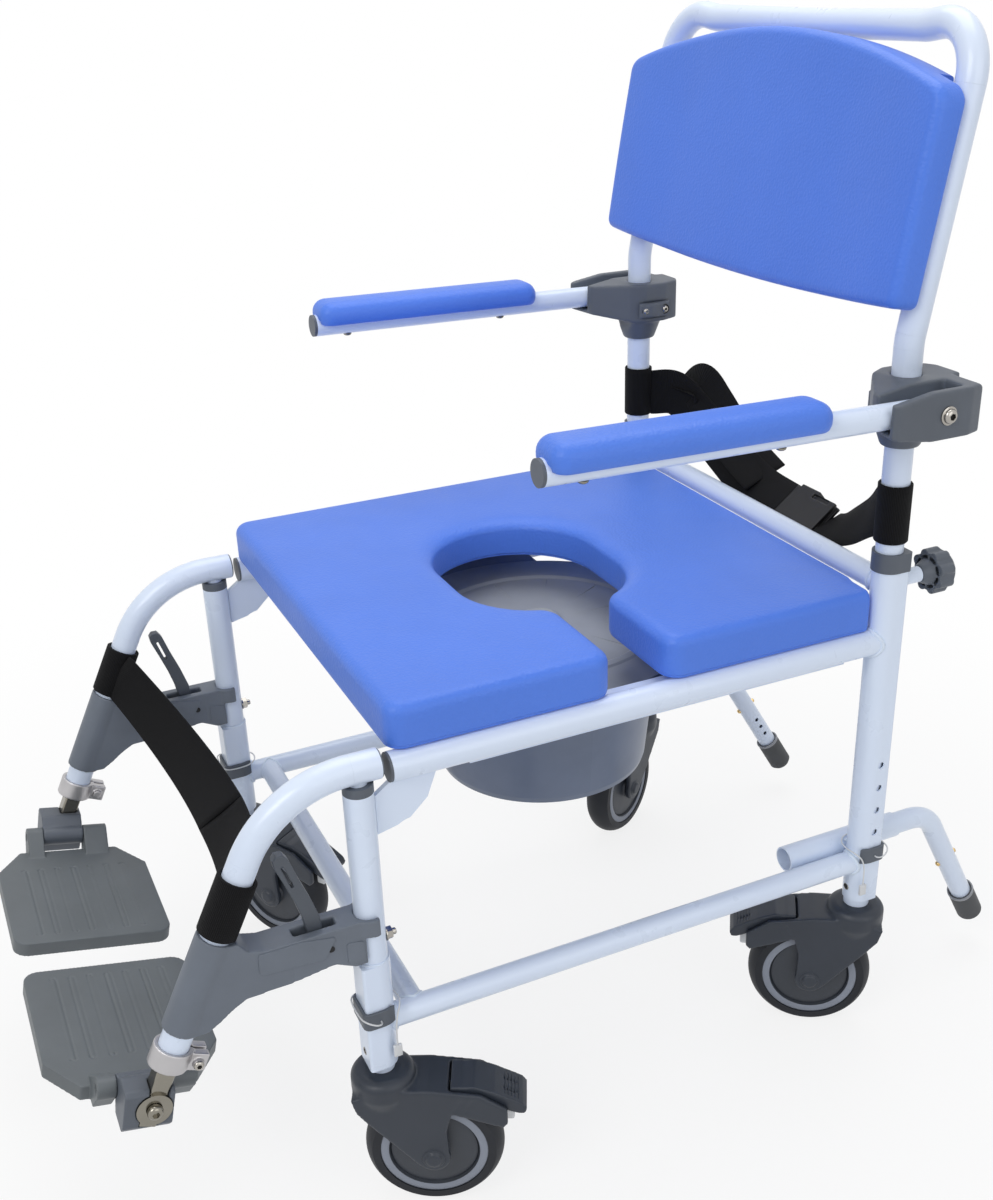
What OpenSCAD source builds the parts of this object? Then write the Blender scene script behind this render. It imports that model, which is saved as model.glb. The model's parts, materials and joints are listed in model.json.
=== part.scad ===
// Shower commode chair: white tube frame on four swivel casters, foam seat with a keyhole
// opening, sliding pail, flip-up armrests, adjustable back and swing-away footrests.
// Millimetres, +Z up, front toward -Y, the chair's left side toward +X, floor at z = 0.

/* [Frame] */
// Distance between the left and right leg axes
leg_span = 454; // [440:1:480]
// Distance between the front and rear leg axes
leg_base = 512; // [500:1:530]
// Outside diameter of the main tubes
tube_d = 25.4; // [25:0.1:26]
// Outside diameter of the lower rails, armrest tubes and anti-tip tubes
small_d = 22.2; // [21:0.1:22.6]
// Wall of the round tubes
tube_wall = 1.5; // [1.2:0.1:1.8]
// Width of the D-section legs
leg_w = 28.6; // [28.2:0.1:30]
// Corner radius on the square side of the legs
leg_corner = 3; // [2:0.5:5]
// Height of the leg ends above the floor
leg_bottom = 158; // [156:1:162]
// Height of the top of the rear legs
rear_leg_top = 517; // [514:1:522]
// Height of the top of the front leg tubes
front_leg_top = 431; // [429:1:433]
// Height of the top of the D sleeves on the front legs
sleeve_top = 268; // [250:1:270]
// Height of the seat rail axis
rail_z = 446; // [445:1:447]
// Height of the lower rail axis
lower_z = 201; // [196:1:203]
// Height of the rear cross tube axis
cross_z = 501.6; // [490:0.1:503]
// Distance of the front cross tube behind the front legs
front_cross_in = 34; // [30:1:60]
// Height of the top of the front inner leg tubes
front_ext_top = 385; // [370:1:400]
// Height of the top of the rear inner leg tubes
rear_ext_top = 362; // [350:1:380]
// Depth of the solid foot of each inner leg tube
plug_h = 50; // [40:1:60]
// Pitch of the height holes in the legs
hole_pitch = 25.4; // [24:0.1:27]
// Number of height holes in each leg
hole_n = 5; // [3:1:5]
// Diameter of the height holes
hole_d = 7; // [5:0.1:8]
// Height of the height clips
clip_h = 17; // [12:1:18]
// Thickness of the height clip bands
clip_t = 3; // [2:0.1:4]
// Gusset plate thickness
gusset_t = 5; // [3:0.5:8]

/* [Casters] */
// Wheel diameter over the tyre
wheel_d = 125; // [118:1:127]
// Offset of the wheel axle from the swivel axis
trail = 42; // [38:1:44]
// Tyre width
tyre_w = 30; // [26:1:32]
// Radial depth of the tyre
tyre_t = 14; // [10:1:16]
// Width over the fork cheeks
fork_w = 48; // [46:1:52]
// Diameter of the swivel head
head_d = 57; // [50:1:60]
// Swivel angle of the front left caster
turn_fl = 25.7; // [0:0.1:40]
// Swivel angle of the front right caster
turn_fr = 55; // [20:0.1:70]
// Swivel angle of the rear left caster
turn_rl = 213.8; // [190:0.1:230]
// Swivel angle of the rear right caster
turn_rr = 148; // [130:0.1:170]

/* [Back] */
// Height of the bend in the back posts
post_bend_z = 725; // [715:1:740]
// Lean of the upper back posts
back_lean = 10.4; // [6:0.1:14]
// Length of the leaning posts up to the top corner
post_rise = 254; // [248:1:280]
// Width of the back pad
back_pad_w = 487; // [478:1:494]
// Thickness of the back pad at its sides, in front of the posts
back_pad_t = 28; // [22:1:32]
// Depth of the hollow across the middle of the back pad
back_dip = 6; // [2:1:8]
// Depth of the pad's core, which lies between the posts
back_core = 14; // [8:1:18]
// Height of the back pad at its middle
back_pad_h = 220; // [205:1:224]
// Rise of the arch along the top of the back pad
back_arch = 40; // [20:1:50]
// Bow of the bottom edge of the back pad
back_bow = 10; // [4:1:16]

/* [Armrests] */
// Distance of each armrest tube outside the post axis
arm_out = 40; // [39:0.5:43]
// Height of the armrest pivot
arm_z = 676; // [670:1:690]
// Length of the armrest tube in front of its pivot
arm_len = 362; // [330:1:390]
// Rise of the armrest tube toward the front
arm_rise = 1; // [0:0.1:1.5]
// Length of the armrest pad
arm_pad_l = 249; // [220:1:256]
// Width of the armrest pad
arm_pad_w = 46; // [42:1:49]
// Height of the armrest pad above the tube's middle
arm_pad_h = 25.5; // [24:0.5:29]
// Height of the armrest bracket block
bracket_h = 42; // [38:1:46]

/* [Seat] */
// Distance from the front leg axis back to the cushion's front edge
seat_front = 27; // [20:1:36]
// Distance from the cushion's rear edge to the rear leg axis
seat_rear = 16; // [16:1:30]
// Thickness of the seat cushion
seat_t = 41; // [35:1:50]
// Overhang of the cushion past the seat rail axis
seat_over = 4; // [2:0.5:8]
// Radius of the two ends of the seat opening
hole_r = 82; // [70:1:86]
// Length between the centres of the opening's two ends
hole_long = 51; // [40:1:60]
// Width of the slot that opens the seat to its left side
slot_w = 52; // [46:1:58]
// Radius of the cushion's edges
seat_edge = 10; // [8:1:12]

/* [Pail] */
// Diameter of the pail under its rim
pail_d = 242; // [230:1:248]
// Diameter of the pail's base
pail_base_d = 214; // [190:1:220]
// Depth of the pail
pail_h = 146; // [130:1:150]
// Wall of the pail
pail_wall = 2.5; // [2:0.1:3.5]
// Distance from a leg's axis in to the outer edge of the pail's slide wing
wing_in = 30; // [29:0.5:35]
// Diameter of the finger ring on the lid
lid_ring_d = 42; // [34:1:50]

/* [Hangers] */
// Height of the hanger's level part
hanger_z = 452; // [451:0.5:453]
// Slope of the hanger from the vertical
hanger_slope = 26; // [24:0.5:28]
// Distance from the leg axis to the corner of the hanger
hanger_reach = 68.4; // [64:0.1:74]
// Bend radius of the hanger
hanger_r = 100; // [80:1:105]
// Height of the lower end of the hanger tube
hanger_end_z = 232; // [226:1:240]
// Diameter of the hanger pivot pin
pivot_d = 16; // [12:0.1:18]
// Outside diameter of the latch housing's socket
socket_d = 31.5; // [30:0.1:33]
// Width of the latch housing's arm
latch_w = 28; // [27:0.1:30]
// Thickness of the release lever
lever_t = 9; // [7:0.1:11]

/* [Footrests] */
// Width across the flats of the footrest bar
bar_w = 16; // [14:0.1:16.4]
// Gap between the two footplates
plate_gap = 44; // [36:1:60]
// Length of the footplate front to back
plate_l = 146; // [136:1:150]
// Thickness of the footplate
plate_t = 13.5; // [12:0.1:14]
// Tilt of the footplate, front up
plate_tilt = 12.6; // [8:0.1:14]
// Number of grip grooves in the footplate
groove_n = 7; // [5:1:8]
// Diameter of the footplate hinge pin
hinge_d = 8; // [6:0.1:9]
// Diameter of the hinge barrel
barrel_d = 19; // [17:0.1:20]

/* [Anti-tip] */
// Length of the anti-tip receiver tubes
receiver_l = 135; // [110:1:140]
// Height of the receiver tube axis
receiver_z = 207; // [205:1:209]
// Distance from the rear leg axis to the bend of the anti-tip tube
tip_reach = 106; // [100:1:116]
// Angle of the down-leg from the vertical
tip_angle = 30; // [24:0.5:34]
// Bend radius of the anti-tip tube
tip_r = 40; // [36:1:48]
// Diameter of the rubber foot
foot_d = 28; // [26:0.5:32]
// Height of the rubber foot above the floor
foot_z = 36; // [30:1:44]

/* [Straps] */
// Width of the webbing
strap_w = 50; // [40:1:52]
// Thickness of the calf strap, which is doubled
calf_t = 3.5; // [2.5:0.1:5]
// Thickness of the chest belt
belt_t = 2.4; // [1.6:0.1:3]

/* [Fits] */
// Radial clearance of pins and axles
pin_gap = 0.1; // [0.08:0.01:0.1]
// Radial clearance of sliding tubes
slide_gap = 0.2; // [0.15:0.01:0.25]
// Gap between pieces that run or lie against each other
run_gap = 0.3; // [0.25:0.01:0.4]
// Gap left at welded and seated faces
weld_gap = 0.05; // [0.03:0.01:0.08]

/* [Hidden] */
$fn = 64;
leg_x = leg_span / 2;
leg_y = leg_base / 2;
r_tube = tube_d / 2;
r_small = small_d / 2;
r_leg = leg_w / 2;
leg_bore = tube_d + 2 * slide_gap;
tube_id = tube_d - 2 * tube_wall;
ext_front_d = tube_id - 2 * slide_gap;
wheel_r = wheel_d / 2;
axle_d = 8;
stem_d = 11;
head_top = leg_bottom - 8;
seat_z = rail_z + r_tube + run_gap;
rail_front = -leg_y + 27;
slope_k = tan(hanger_slope);
hanger_y = -leg_y - hanger_reach;
lean_up = [0, sin(back_lean), cos(back_lean)];
lean_out = [0, -cos(back_lean), sin(back_lean)];
post_bend = [leg_x, leg_y, post_bend_z];
post_top = post_bend + post_rise * lean_up;
tip_x = leg_x - r_leg - r_tube - 2 * weld_gap;
collar_top = rear_leg_top + 18;
white = "white";
grey = "#6f7478";
blue = "#5b82d8";
black = "#1c1c1e";

// Unit vector
function unit(v) = v / norm(v);
// Straight length that a bend of radius r takes from each side of corner b
function tangent(a, b, c, r) = r * tan(acos(unit(b - a) * unit(c - b)) / 2);
// Point on the hanger's sloping axis at height z
function slope(z) = [leg_x, hanger_y - slope_k * (hanger_z - z), z];
// Unit vector up the hanger's slope
slope_up = [0, sin(hanger_slope), cos(hanger_slope)];
// Points on an arc about c from angle a0 to a1
function arc(c, r, a0, a1, n) = [for (i = [0 : n]) c + r * [cos(a0 + (a1 - a0) * i / n), sin(a0 + (a1 - a0) * i / n)]];

// Shifts chair coordinates so that the origin lies under the middle of the part
module place() {
  translate([0, y_shift, 0]) children();
}

// A piece on the left and its mirror image on the right
module both() {
  children();
  mirror([1, 0, 0]) children();
}

// One side: the left as drawn, the right mirrored
module side(s) {
  if (s > 0) children();
  else mirror([1, 0, 0]) children();
}

// Turns Z to the direction from a to b, at a
module along(a, b) {
  v = b - a;
  translate(a) rotate([0, acos(v[2] / norm(v)), atan2(v[1], v[0])]) children();
}

// Round bar from a to b
module rod(a, b, d) {
  along(a, b) cylinder(d = d, h = norm(b - a));
}

// Ring section of a tube, hollow if w is above 0
module section(d, w) {
  difference() {
    circle(d = d);
    if (w > 0)
      circle(d = d - 2 * w);
  }
}

// Bent piece of tube that rounds the corner b of a run
module bend(a, b, c, r, d, w) {
  u = unit(b - a);
  v = unit(c - b);
  th = acos(u * v);
  ax = unit(cross(u, v));
  // Turn that brings Z to the bend's axis, and then Y to the way the tube comes in
  al = atan2(ax[1], ax[0]);
  be = acos(max(-1, min(1, ax[2])));
  ph = atan2(-u * [cos(al) * cos(be), sin(al) * cos(be), -sin(be)], u * [-sin(al), cos(al), 0]);
  // Hairline seam where the bend meets the straight tube
  e = weld_gap / r * 180 / PI;
  translate(b - u * r * tan(th / 2) + cross(ax, u) * r) rotate([0, be, al]) rotate(ph + e)
    rotate_extrude(angle = th - 2 * e) translate([r, 0]) section(d, w);
}

// Tube along the points p with the bend radii r
module pipe(p, r, d, w = tube_wall) {
  n = len(p);
  for (i = [0 : n - 2]) {
    u = unit(p[i + 1] - p[i]);
    a = i == 0 ? p[0] : p[i] + u * tangent(p[i - 1], p[i], p[i + 1], r[i]);
    b = i == n - 2 ? p[n - 1] : p[i + 1] - u * tangent(p[i], p[i + 1], p[i + 2], r[i + 1]);
    along(a, b) linear_extrude(norm(b - a)) section(d, w);
  }
  if (n > 2)
    for (i = [1 : n - 2])
      bend(p[i - 1], p[i], p[i + 1], r[i], d, w);
}

// D-shaped outline: round toward -Y, square with rounded corners toward +Y
module d_shape(r, c) {
  circle(r = r);
  translate([-r, 0]) square([2 * r, r - c]);
  translate([c - r, 0]) square([2 * (r - c), r]);
  for (s = [-1, 1])
    translate([s * (r - c), r - c]) circle(r = c);
}

// Upright of D section
module d_bar(r, c, z0, z1) {
  translate([0, 0, z0]) linear_extrude(z1 - z0) d_shape(r, c);
}

// Body through a stack of rings, each of as many points, counter-clockwise about the way they go.
// An end that isn't convex takes its triangles, by point number, from cap
module skin(rings, cap = []) {
  n = len(rings[0]);
  m = len(rings);
  polyhedron(
    points = [for (k = rings) for (p = k) p],
    faces = concat(
      len(cap) > 0 ? cap : [[for (i = [0 : n - 1]) i]],
      len(cap) > 0
        ? [for (t = cap) [for (i = [2, 1, 0]) (m - 1) * n + t[i]]]
        : [[for (i = [n - 1 : -1 : 0]) (m - 1) * n + i]],
      [for (k = [0 : m - 2]) for (i = [0 : n - 1]) [k * n + (i + 1) % n, k * n + i, (k + 1) * n + i]],
      [for (k = [0 : m - 2]) for (i = [0 : n - 1])
        [(k + 1) * n + (i + 1) % n, k * n + (i + 1) % n, (k + 1) * n + i]]
    ),
    convexity = 8
  );
}

// Triangles between two rows of points, a outside b, that both run clockwise as ta and tb rise
function zip(a, b, ta, tb, i = 0, j = 0) =
  i == len(a) - 1 && j == len(b) - 1 ? [] :
    j == len(b) - 1 || (i < len(a) - 1 && ta[i + 1] < tb[j + 1])
      ? concat([[a[i + 1], a[i], b[j]]], zip(a, b, ta, tb, i + 1, j))
      : concat([[a[i], b[j], b[j + 1]]], zip(a, b, ta, tb, i, j + 1));

// Inward normals of a counter-clockwise outline
function normals(p) = [
  for (i = [0 : len(p) - 1])
    let (
      a = unit(p[i] - p[(i + len(p) - 1) % len(p)]),
      b = unit(p[(i + 1) % len(p)] - p[i]),
      t = unit(a + b)
    ) [-t[1], t[0]]
];

// Rear leg: D tube with its height holes, knob hole and welded knob boss
module rear_leg() {
  difference() {
    union() {
      translate([leg_x, leg_y, 0]) d_bar(r_leg, leg_corner, leg_bottom, rear_leg_top);
      rod([leg_x, leg_y + r_leg - 0.5, knob_z], [leg_x, boss_end, knob_z], 15);
    }
    translate([leg_x, leg_y, 0]) d_bar(leg_bore / 2, 1.5, leg_bottom - 1, rear_leg_top + 1);
    rod([leg_x, leg_y, knob_z], [leg_x, boss_end + 1, knob_z], stud_d + 2 * pin_gap);
    leg_holes(leg_y + 3);
  }
}

// Row of height holes through the outer wall of a leg
module leg_holes(y) {
  for (i = [0 : hole_n - 1])
    rod([leg_x + 8, y, clip_z + i * hole_pitch], [leg_x + r_leg + 2, y, clip_z + i * hole_pitch], hole_d);
}

// Front leg: round tube in a D sleeve
module front_leg() {
  difference() {
    union() {
      translate([leg_x, -leg_y, leg_bottom]) cylinder(d = tube_d, h = front_leg_top - leg_bottom);
      translate([leg_x, -leg_y, 0]) mirror([0, 1, 0]) d_bar(r_leg, leg_corner, leg_bottom, sleeve_top);
    }
    translate([leg_x, -leg_y, leg_bottom - 1]) cylinder(d = tube_id, h = front_leg_top - leg_bottom + 2);
    rod([leg_x + 8, -leg_y - 3, clip_z], [leg_x + r_leg + 2, -leg_y - 3, clip_z], hole_d);
  }
}

knob_z = 504;
stud_d = 8;
boss_end = leg_y + 36;
clip_z = 214.4;

module frame_legs() {
  color(white) place() both() {
    rear_leg();
    front_leg();
  }
}

// Solid outlines of the legs, grown by g, that the rails are coped to
module leg_cut(g) {
  translate([leg_x, leg_y, 0]) d_bar(r_leg + g, leg_corner, 0, 600);
  translate([leg_x, -leg_y, 0]) mirror([0, 1, 0]) d_bar(r_leg + g, leg_corner, 0, sleeve_top + g);
  translate([leg_x, -leg_y, 0]) cylinder(r = r_tube + g, h = 600);
}

// Gusset between the front leg and the seat rail: a plate with a hollowed front edge
module gusset() {
  y0 = -leg_y + r_tube + weld_gap;
  translate([leg_x - gusset_t / 2, 0, 0]) rotate([90, 0, 90]) linear_extrude(gusset_t)
    difference() {
      polygon([
        [y0, 388], [y0, 424], [rail_front, rail_z - r_tube + 1],
        [-leg_y + 66, rail_z - r_tube + 1], [-leg_y + 57, 411], [-leg_y + 39, 394]
      ]);
      translate([-leg_y + 43, 374]) circle(r = 22);
    }
}

module frame_rails() {
  color(white) place() {
    both() {
      // Seat rail with its gusset
      difference() {
        union() {
          rod([leg_x, rail_front, rail_z], [leg_x, leg_y, rail_z], tube_d);
          gusset();
        }
        rod([leg_x, rail_front - 1, rail_z], [leg_x, leg_y + 30, rail_z], tube_id);
        leg_cut(weld_gap);
      }
      // Lower rail
      difference() {
        rod([leg_x, -leg_y, lower_z], [leg_x, leg_y, lower_z], small_d);
        rod([leg_x, -leg_y - 30, lower_z], [leg_x, leg_y + 30, lower_z], small_d - 2 * tube_wall);
        leg_cut(weld_gap);
      }
    }
    // Rear cross tube
    difference() {
      rod([-leg_x, leg_y, cross_z], [leg_x, leg_y, cross_z], small_d);
      rod([-leg_x - 30, leg_y, cross_z], [leg_x + 30, leg_y, cross_z], small_d - 2 * tube_wall);
      both() leg_cut(weld_gap);
    }
    // Front cross tube
    difference() {
      rod([-leg_x, cross_y, lower_z], [leg_x, cross_y, lower_z], small_d);
      rod([-leg_x - 1, cross_y, lower_z], [leg_x + 1, cross_y, lower_z], small_d - 2 * tube_wall);
      both() rod([leg_x, -leg_y, lower_z], [leg_x, leg_y, lower_z], small_d + 2 * weld_gap);
    }
  }
}
cross_y = -leg_y + front_cross_in;

module antitip_receivers() {
  color(white) place() both()
    difference() {
      pipe([[tip_x, receiver_y, receiver_z], [tip_x, receiver_y + receiver_l, receiver_z]], [], tube_d);
      for (i = [0, 1])
        rod([tip_x - 20, receiver_y + 14 + 100 * i, receiver_z],
          [tip_x - 5, receiver_y + 14 + 100 * i, receiver_z], hole_d);
    }
}
receiver_y = leg_y - 73;

// Pail slide: Z-section track hung from the inner side of each seat rail
module pail_tracks() {
  w = 3;
  x1 = leg_x - r_tube - weld_gap;
  color(white) place() both()
    translate([0, track_y + track_l, 0]) rotate([90, 0, 0]) linear_extrude(track_l)
      polygon([
        [x1, rail_z], [x1, rail_z + w], [track_x, rail_z + w], [track_x, track_top],
        [track_x - 24, track_top], [track_x - 24, track_top - w],
        [track_x + w, track_top - w], [track_x + w, rail_z]
      ]);
}
track_y = -leg_y + 106;
track_l = 385;
wing_x = leg_x - wing_in;
track_x = wing_x + 3;
track_top = rail_z - 29;

// Hanger bushes in the front legs, plugs in the seat rails and collars on the rear legs
module frame_bushes() {
  color(grey) place() both() {
    difference() {
      union() {
        translate([leg_x, -leg_y, front_leg_top - 40]) cylinder(d = tube_id - 2 * weld_gap, h = 41);
        translate([leg_x, -leg_y, front_leg_top + weld_gap])
          cylinder(d = tube_d, h = hanger_z - r_tube - run_gap - front_leg_top - weld_gap);
      }
      translate([leg_x, -leg_y, front_leg_top - 50]) cylinder(d = pivot_d + 2 * pin_gap, h = 90);
    }
    rod([leg_x, rail_front - 2, rail_z], [leg_x, rail_front - weld_gap, rail_z], tube_d - 0.6);
    rod([leg_x, rail_front - 1, rail_z], [leg_x, rail_front + 20, rail_z], tube_id - 2 * weld_gap);
    difference() {
      translate([leg_x, leg_y, 0]) d_bar(r_leg + 1.2, leg_corner + 1, rear_leg_top + weld_gap, collar_top);
      translate([leg_x, leg_y, rear_leg_top]) cylinder(d = leg_bore, h = 30);
    }
  }
}

// C-shaped band round a leg, open toward the lower rail, with a pin stub in the leg wall
module clip(front) {
  s = front ? -1 : 1;
  translate([leg_x, s * leg_y, 0]) {
    difference() {
      mirror([0, front ? 1 : 0, 0])
        d_bar(r_leg + clip_t, leg_corner + clip_t, clip_z - clip_h / 2, clip_z + clip_h / 2);
      mirror([0, front ? 1 : 0, 0]) d_bar(r_leg + weld_gap, leg_corner, clip_z - 20, clip_z + 20);
      translate([-r_leg + 2, s > 0 ? -30 : 6, clip_z - 20]) cube([2 * r_leg - 4, 24, 40]);
      if (!front)
        translate([-r_leg - 10, -30, clip_z - 20]) cube([14, 60, 40]);
    }
    translate([r_leg - 1.2, s * 3, clip_z]) rotate([0, 90, 0])
      cylinder(d = hole_d - 2 * weld_gap, h = clip_t + 0.8);
  }
}

module height_clips() {
  color(grey) place() both() {
    clip(true);
    clip(false);
  }
}

// Inner leg tubes with a plug at the foot that takes the caster stem
module extension(y, d, top) {
  translate([leg_x, y, 0])
    difference() {
      translate([0, 0, head_top + run_gap]) cylinder(d = d, h = top - head_top - run_gap);
      translate([0, 0, head_top]) cylinder(d = stem_d + 2 * pin_gap, h = top);
      translate([0, 0, head_top + plug_h]) cylinder(d = d - 2 * tube_wall, h = top);
    }
}

module leg_extensions() {
  color(white) place() both() {
    extension(-leg_y, ext_front_d, front_ext_top);
    extension(leg_y, tube_d, rear_ext_top);
  }
}

// Places a caster drawn with its swivel axis on Z and its wheel trailing toward +X
module caster_at(sx, sy, turn) {
  translate([sx * leg_x, sy * leg_y + y_shift, 0]) rotate(90 - turn) children();
}

// Fork: swivel head, raked cheeks and a hood over the wheel, cut out for wheel and pedal
module fork() {
  cheek = fork_w / 2;
  top = head_top - 10;
  color("#4a4e55") {
    difference() {
      union() {
        // Swivel head with a rounded shoulder
        rotate_extrude()
          polygon([
            [0, 120], [head_d / 2 - 4, 120], [head_d / 2, 130], [head_d / 2, head_top - 6],
            [head_d / 2 - 3, head_top - 2], [head_d / 2 - 8, head_top], [0, head_top]
          ]);
        // Cheeks and hood
        translate([0, cheek, 0]) rotate([90, 0, 0]) linear_extrude(fork_w)
          union() {
            polygon([
              [-27, 131], [-23, 116], [-13, 103], [trail - 13, wheel_r - 9], [trail + 14, wheel_r - 5],
              [trail + 13, wheel_r + 30], [60, 113], [92, 101], [105, 97], [109, 101], [109, 117],
              [86, 133], [40, top], [10, top]
            ]);
            translate([trail, wheel_r]) circle(r = 15);
          }
      }
      // Room for the wheel
      translate([trail, tyre_w / 2 + 2, wheel_r]) rotate([90, 0, 0]) cylinder(r = wheel_r + 4, h = tyre_w + 4);
      // Slot for the brake pedal
      translate([58, -pedal_w / 2 - 0.5, 80]) cube([70, pedal_w + 1, 80]);
      // Grooves in the cheeks beside the pedal
      for (s = [-1, 1])
        for (x = [66, 76])
          translate([x, s * cheek, 122]) rotate([0, 25, 0]) cube([3, 2, 16], center = true);
    }
    // Swivel stem, axle and pedal pin
    translate([0, 0, head_top - 1]) cylinder(d = stem_d, h = 40);
    translate([trail, cheek + 1.5, wheel_r]) rotate([90, 0, 0]) cylinder(d = axle_d, h = fork_w + 3);
    for (s = [-1, 1])
      translate([trail, s * (cheek - 0.5) + (s > 0 ? 4 : 0), wheel_r]) rotate([90, 0, 0]) cylinder(d = 15, h = 4);
    translate([pedal_t, cheek - 2, pedal_z]) rotate([90, 0, 0]) cylinder(d = 5, h = fork_w - 4);
  }
}
pedal_w = 36;
pedal_t = 84;
pedal_z = 124;

// Wheel centre: light outer ring, thin recessed disc and hub
module wheel() {
  h = tyre_w / 2;
  r = wheel_r - tyre_t;
  color("#8f9398") translate([trail, 0, wheel_r]) rotate([90, 0, 0])
    rotate_extrude()
      polygon([
        [axle_d / 2 + pin_gap, -h - 1], [13, -h - 1], [15, -h + 3], [r - 10, -h + 6], [r - 8, -h + 1], [r, -h + 1],
        [r, h - 1], [r - 8, h - 1], [r - 10, h - 6], [15, h - 3], [13, h + 1], [axle_d / 2 + pin_gap, h + 1]
      ]);
}

// Tyre with a rounded tread
module tyre() {
  h = tyre_w / 2;
  r = wheel_r - tyre_t + weld_gap;
  color(black) translate([trail, 0, wheel_r]) rotate([90, 0, 0])
    rotate_extrude()
      intersection() {
        translate([r, -h]) square([tyre_t - weld_gap, 2 * h]);
        translate([wheel_r - 1.3 * h, 0]) circle(r = 1.3 * h);
      }
}

// Side form of the brake pedal
module pedal_form() {
  translate([0, pedal_w / 2, 0]) rotate([90, 0, 0]) linear_extrude(pedal_w)
    polygon([
      [62, 127], [62, 133], [66, 138], [80, 139], [98, 132], [122, 119], [126, 113], [124, 108],
      [118, 108], [106, 113], [92, 116], [74, 119]
    ]);
}

// Brake pedal with a pressed tread and the white shoe that bears on the tyre
module pedal() {
  color("#4a4e55") {
    difference() {
      pedal_form();
      translate([pedal_t, pedal_w, pedal_z]) rotate([90, 0, 0]) cylinder(d = 5 + 2 * pin_gap, h = 2 * pedal_w);
      for (y = [-6, 6])
        translate([112, y, 126]) rotate([0, 28, 0]) cube([14, 3, 5], center = true);
    }
  }
  color(white) difference() {
    translate([trail + wheel_r, -9, 93]) cube([6.5, 18, 21]);
    translate([0, 0, -weld_gap]) pedal_form();
  }
}

// Back frame: two posts joined by a creased top bar, with a seam at the middle
back_half = [
  [leg_x, leg_y, 370], post_bend, post_top,
  [leg_x - 69, post_top[1] + 3, post_top[2] - 10], [0, post_top[1] + 14, post_top[2] - 12]
];
module back_frame() {
  p = concat(back_half, [for (i = [3 : -1 : 0]) [-back_half[i][0], back_half[i][1], back_half[i][2]]]);
  color(white) place() pipe(p, [0, 60, 45, 60, 400, 60, 45, 60, 0], tube_d);
}

// Smooth step from 0 to 1
function ease(t) = let (u = max(0, min(1, t))) u * u * (3 - 2 * u);

// Drop of a corner of radius r at distance x from the middle of a piece of half-width w
function corner(x, w, r) = x < w - r ? 0 : r - sqrt(max(0, r * r - pow(x - w + r, 2)));

// Rounded section of the back pad at distance x from its middle: up the posts first, then forward
function back_ring(x) =
  let (
    w = back_pad_w / 2,
    m = abs(x),
    e = 9,
    v0 = back_low + back_bow * pow(m / w, 2) + corner(m, w, e),
    v1 = back_low + back_pad_h - back_arch * pow(m / w, 2) - corner(m, w, 14),
    d0 = m > leg_x - r_tube - 8 ? corner(m, w, 4) : -back_core,
    d1 = back_pad_t - back_dip * (1 - ease((m - 120) / 110)) - corner(m, w, e)
  )
  concat(
    arc([v0 + 3, d0 + 3], 3, 180, 270, 2), arc([v1 - 3, d0 + 3], 3, 270, 360, 2),
    arc([v1 - e, d1 - e], e, 0, 90, 4), arc([v0 + e, d1 - e], e, 90, 180, 4)
  );
back_low = 16;

// Back pad: moulded slab with an arched top, fuller sides and a core between the posts
module back_pad() {
  w = back_pad_w / 2;
  c = leg_x - r_tube - 8;
  o = post_bend + (r_tube + run_gap) * lean_out - [leg_x, 0, 0];
  half = concat([for (i = [0 : 7]) c * i / 7], [c + 0.5, w - 24, w - 14, w - 9, w - 5, w - 2.2, w - 0.5]);
  xs = concat([for (i = [len(half) - 1 : -1 : 1]) -half[i]], half);
  color(blue) place()
    skin([for (x = xs) [for (a = back_ring(x)) o + [x, 0, 0] + a[0] * lean_up + a[1] * lean_out]]);
}

// Armrest bracket: moulded block on the post with an open pocket for the tube
module bracket() {
  px = leg_x + arm_out;
  zb = arm_z - bracket_h / 2;
  zt = arm_z + bracket_h / 2;
  wall = r_small + 0.4;
  difference() {
    union() {
      translate([0, 0, zb]) linear_extrude(bracket_h)
        union() {
          polygon([
            [leg_x + 20, leg_y - 50], [leg_x - 18, leg_y - 22], [leg_x - 27, leg_y - 6], [leg_x - 27, leg_y + 18],
            [leg_x - 20, leg_y + 36], [leg_x - 10, leg_y + 42], [px + 4, leg_y + 42], [px + 16, leg_y + 34],
            [px + wall + 9, leg_y + 20], [px + wall + 9, leg_y - 53], [px + wall + 5, leg_y - 58],
            [px - wall, leg_y - 52]
          ]);
        }
      // Tapered boss round the post
      translate([leg_x, leg_y, zb - 21]) rotate_extrude()
        polygon([[0, 0], [17, 0], [25, 21.5], [0, 21.5]]);
    }
    // Post hole
    translate([leg_x, leg_y, zb - 30]) cylinder(d = tube_d + 2 * weld_gap, h = 120);
    // Pocket for the armrest tube, open above and behind the floor
    translate([px - wall, leg_y - 80, arm_z - r_small - 0.7]) cube([2 * wall, 96.5, 80]);
    translate([px - wall, leg_y - 25, zb - 1]) cube([2 * wall, 41.5, 80]);
    // Pivot bolt hole
    rod([px - 40, arm_y, arm_z], [px + 40, arm_y, arm_z], arm_bolt_d + 2 * weld_gap);
    // Groove of the clamp band on the inner side
    translate([leg_x - 40, leg_y - 40, arm_z - 16]) cube([16, 80, 18]);
    // Cheeks that grow lower toward the front
    for (t = [0, 1])
      translate([px, leg_y - 18, arm_z]) mirror([0, 0, t]) translate([-60, 0, bracket_h / 2]) rotate([9, 0, 0])
        translate([0, -80, 0]) cube([120, 80, 30]);
    // Sloped top over the outer corner
    translate([px - 20, leg_y + 16, zt + 12]) rotate([-38, 0, 0]) cube([80, 60, 24]);
  }
}
arm_y = leg_y - 4;
arm_bolt_d = 8;

module arm_brackets() {
  color(grey) place() both() bracket();
}

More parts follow.
